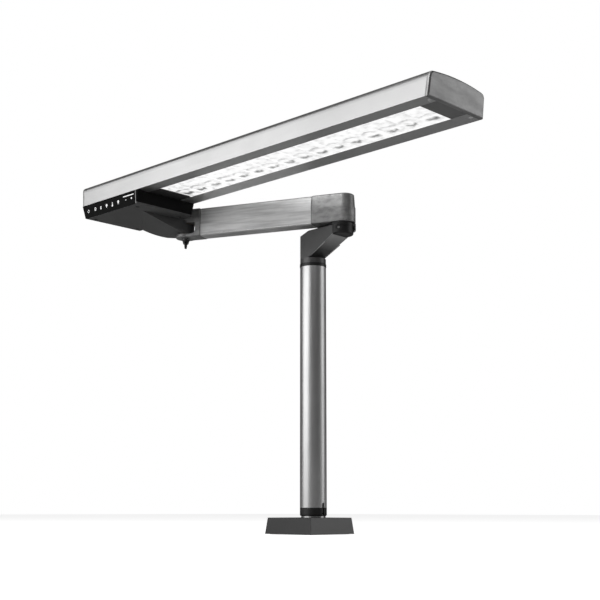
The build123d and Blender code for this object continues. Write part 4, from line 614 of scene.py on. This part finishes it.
def make_icons():
    """Generic touch symbols, drawn in millimetres: ring, level, arrow, lamps, stem, minus, dot and bar."""
    panel_low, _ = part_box("touch_panel")
    bm = bmesh.new()

    def at(across, rise=0.0):
        """A place on the panel: millimetres from its left end and from the symbols' row."""
        return (panel_low[0] + across * MM, panel_low[2] + (ICON_ROW + rise) * MM)

    def spot(across, rise, radius, hole=None):
        outline = disc(at(across, rise), radius * MM)
        icon_prism(bm, outline, None if hole is None else disc(at(across, rise), hole * MM))

    def bar(across, rise, width, height):
        icon_prism(bm, block(at(across, rise), width * MM, height * MM))

    spot(RING_AT, 0.0, 2.1, 1.45)
    bar(RING_AT, 1.9, 0.6, 1.6)
    spot(LEVEL_AT, 0.9, 1.9, 1.0)
    bar(LEVEL_AT, -1.5, 3.4, 0.7)
    bar(ARROW_AT, 1.6, 2.6, 0.8)
    bar(ARROW_AT, 0.2, 1.7, 1.8)
    icon_prism(bm, [at(ARROW_AT - 1.6, -0.7), at(ARROW_AT + 1.6, -0.7), at(ARROW_AT, -2.8)])
    for across in LAMPS_AT:
        spot(across, 0.8, 1.9)
        bar(across, -1.5, 1.9, 0.7)
        bar(across, -2.4, 0.8, 0.5)
    bar(STEM_AT, 0.5, 1.3, 4.4)
    spot(STEM_AT, -2.0, 1.5)
    bar(MINUS_AT, -0.2, 2.4, 0.7)
    spot(DOT_AT, 0.0, 1.3)
    bar(BAR_AT, 4.8, 22.9, 1.3)
    bmesh.ops.recalc_face_normals(bm, faces=bm.faces)
    print_white = material("icon_print", Roughness=0.5, Emission_Color=grey(1), Emission_Strength=ICON_GLOW)
    to_colour(print_white, grain(print_white, 900, 2), grey(0.62), grey(0.8))
    finish_piece(bm, "touch_icons", "head", print_white)


# ================================================================ screw heads in the flanges
HEAD_R = 2.5 * MM
HEAD_DOME = 0.9 * MM
HEAD_RINGS = 10
HEAD_TURNS = 48
CROSS_REACH = 1.5 * MM
CROSS_HALF = 0.38 * MM
CROSS_DEPTH = 0.7 * MM


def make_screw_heads():
    """Raised cross-recessed heads on the four screws that hold the end caps."""
    low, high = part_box("end_cap_screws")
    bm = bmesh.new()
    for x in (low[0] + HEAD_R, high[0] - HEAD_R):
        for y in (low[1] + HEAD_R, high[1] - HEAD_R):
            rings = []
            for ring in range(1, HEAD_RINGS + 1):
                radius = HEAD_R * ring / HEAD_RINGS
                row = []
                for turn in range(HEAD_TURNS):
                    across = radius * cos(2 * pi * turn / HEAD_TURNS)
                    along = radius * sin(2 * pi * turn / HEAD_TURNS)
                    drop = HEAD_DOME * (1 - (radius / HEAD_R) ** 2) ** 0.5
                    if radius < CROSS_REACH and min(abs(across), abs(along)) < CROSS_HALF:
                        drop -= CROSS_DEPTH
                    row.append(bm.verts.new((x + across, y + along, low[2] - drop)))
                rings.append(row)
            tip = bm.verts.new((x, y, low[2] - HEAD_DOME + CROSS_DEPTH))
            for turn in range(HEAD_TURNS):
                after = (turn + 1) % HEAD_TURNS
                bm.faces.new((tip, rings[0][turn], rings[0][after]))
                for inner, outer in zip(rings, rings[1:]):
                    bm.faces.new((inner[turn], outer[turn], outer[after], inner[after]))
            bm.faces.new(rings[-1])
    bmesh.ops.recalc_face_normals(bm, faces=bm.faces)
    finish_piece(bm, "cap_screw_heads", "head", finishes["bright_screw"])


# ================================================================ bright edge lines: painted highlights
LINE_R = 0.55 * MM
LINE_SUNK = 0.2 * MM
LINE_SIDES = 10
ARM_AZIMUTH = radians(202.6)
BEAM_HALF = 10.8 * MM
BEAM_EDGE = 1.4 * MM  # the beam's lower lines above its underside
RIDGE_START = (2.9, 13.42, 363.7)  # bracket's lower side edge beside the pole and at the cup, mm
RIDGE_END = (35.5, 14.79, 380.7)


def edge_line(bm, start, end):
    """Round bead along a line, with domed ends."""
    start, end = Vector(start), Vector(end)
    along = (end - start).normalized()
    side = along.orthogonal().normalized()
    other = along.cross(side)
    stations = ((start - along * LINE_R, 0.3), (start, 1.0), (end, 1.0), (end + along * LINE_R, 0.3))
    loops = []
    for centre, share in stations:
        loop = []
        for k in range(LINE_SIDES):
            turn = 2 * pi * k / LINE_SIDES
            loop.append(bm.verts.new(centre + (side * cos(turn) + other * sin(turn)) * LINE_R * share))
        loops.append(loop)
    for near, far in zip(loops, loops[1:]):
        for k in range(LINE_SIDES):
            after = (k + 1) % LINE_SIDES
            bm.faces.new((near[k], near[after], far[after], far[k]))
    bm.faces.new(loops[0])
    bm.faces.new(loops[-1])


def make_highlight_beads():
    """Bright beads along the lower edges of the beam and of the bracket: painted highlights where the edges
    catch the light.
    """
    low, high = (Vector(corner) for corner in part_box("arm_beam"))
    middle = (low + high) / 2
    ahead = Vector((cos(ARM_AZIMUTH), sin(ARM_AZIMUTH), 0))
    across = Vector((-ahead.y, ahead.x, 0))
    half = ((high.x - low.x) - 2 * BEAM_HALF * abs(across.x)) / abs(ahead.x) / 2 - LINE_R
    foot_z = low.z + BEAM_EDGE
    # brighter than the beam's own coat: painted highlight along its lower edges
    highlight_finish = brushed("painted_edge_highlight", 0.9, 0.3, (1, 1, 1))
    bm = bmesh.new()
    for side in (-1, 1):
        flank = middle + across * side * (BEAM_HALF - LINE_SUNK)
        rear, front = flank - ahead * half, flank + ahead * half
        edge_line(bm, (rear.x, rear.y, foot_z), (front.x, front.y, foot_z))
    bmesh.ops.recalc_face_normals(bm, faces=bm.faces)
    finish_piece(bm, "beam_highlight_beads", "arm", highlight_finish, smooth=True)
    # lighter than the bracket's coat: painted highlight along its lower edges
    ridge = painted("painted_ridge_highlight", 0.40, 0.30, 1300, metallic=0.8)
    bm = bmesh.new()
    for side in (-1, 1):
        places = [(x * MM, side * (y * MM - LINE_SUNK), z * MM) for x, y, z in (RIDGE_START, RIDGE_END)]
        edge_line(bm, *places)
    bmesh.ops.recalc_face_normals(bm, faces=bm.faces)
    finish_piece(bm, "bracket_highlight_beads", "elbow", ridge, smooth=True)


# ================================================================ edges
EDGE_ROUNDS = {
    "head_profile": 0.45,
    "arm_beam": 0.35,
    "arm_front_fork": 0.4,
    "arm_rear_housing": 0.3,
    "elbow_bracket": 0.9,
    "control_housing": 0.5,
    "control_cover": 0.7,
    "base_cover": 0.5,
    "filler_left": 0.3,
    "filler_right": 0.3,
    "touch_panel": 0.2,
    "panel_trim": 0.2,
}


def soften_edges():
    """Small rounds that catch the light on the sharp edges of castings and extrusions."""
    for name, width in EDGE_ROUNDS.items():
        bevel = nodes[name].modifiers.new("edge", "BEVEL")
        bevel.width = width * MM
        bevel.segments = 2
        bevel.limit_method = "ANGLE"
        bevel.angle_limit = radians(35)
        bevel.harden_normals = True


make_camera()
make_world()
finishes = dress_nodes()
finishes["lens_clear"] = lens_glow()
make_lens()
make_icons()
make_screw_heads()
make_highlight_beads()
soften_edges()
make_floor()
for light in LIGHTS:
    softbox(*light)
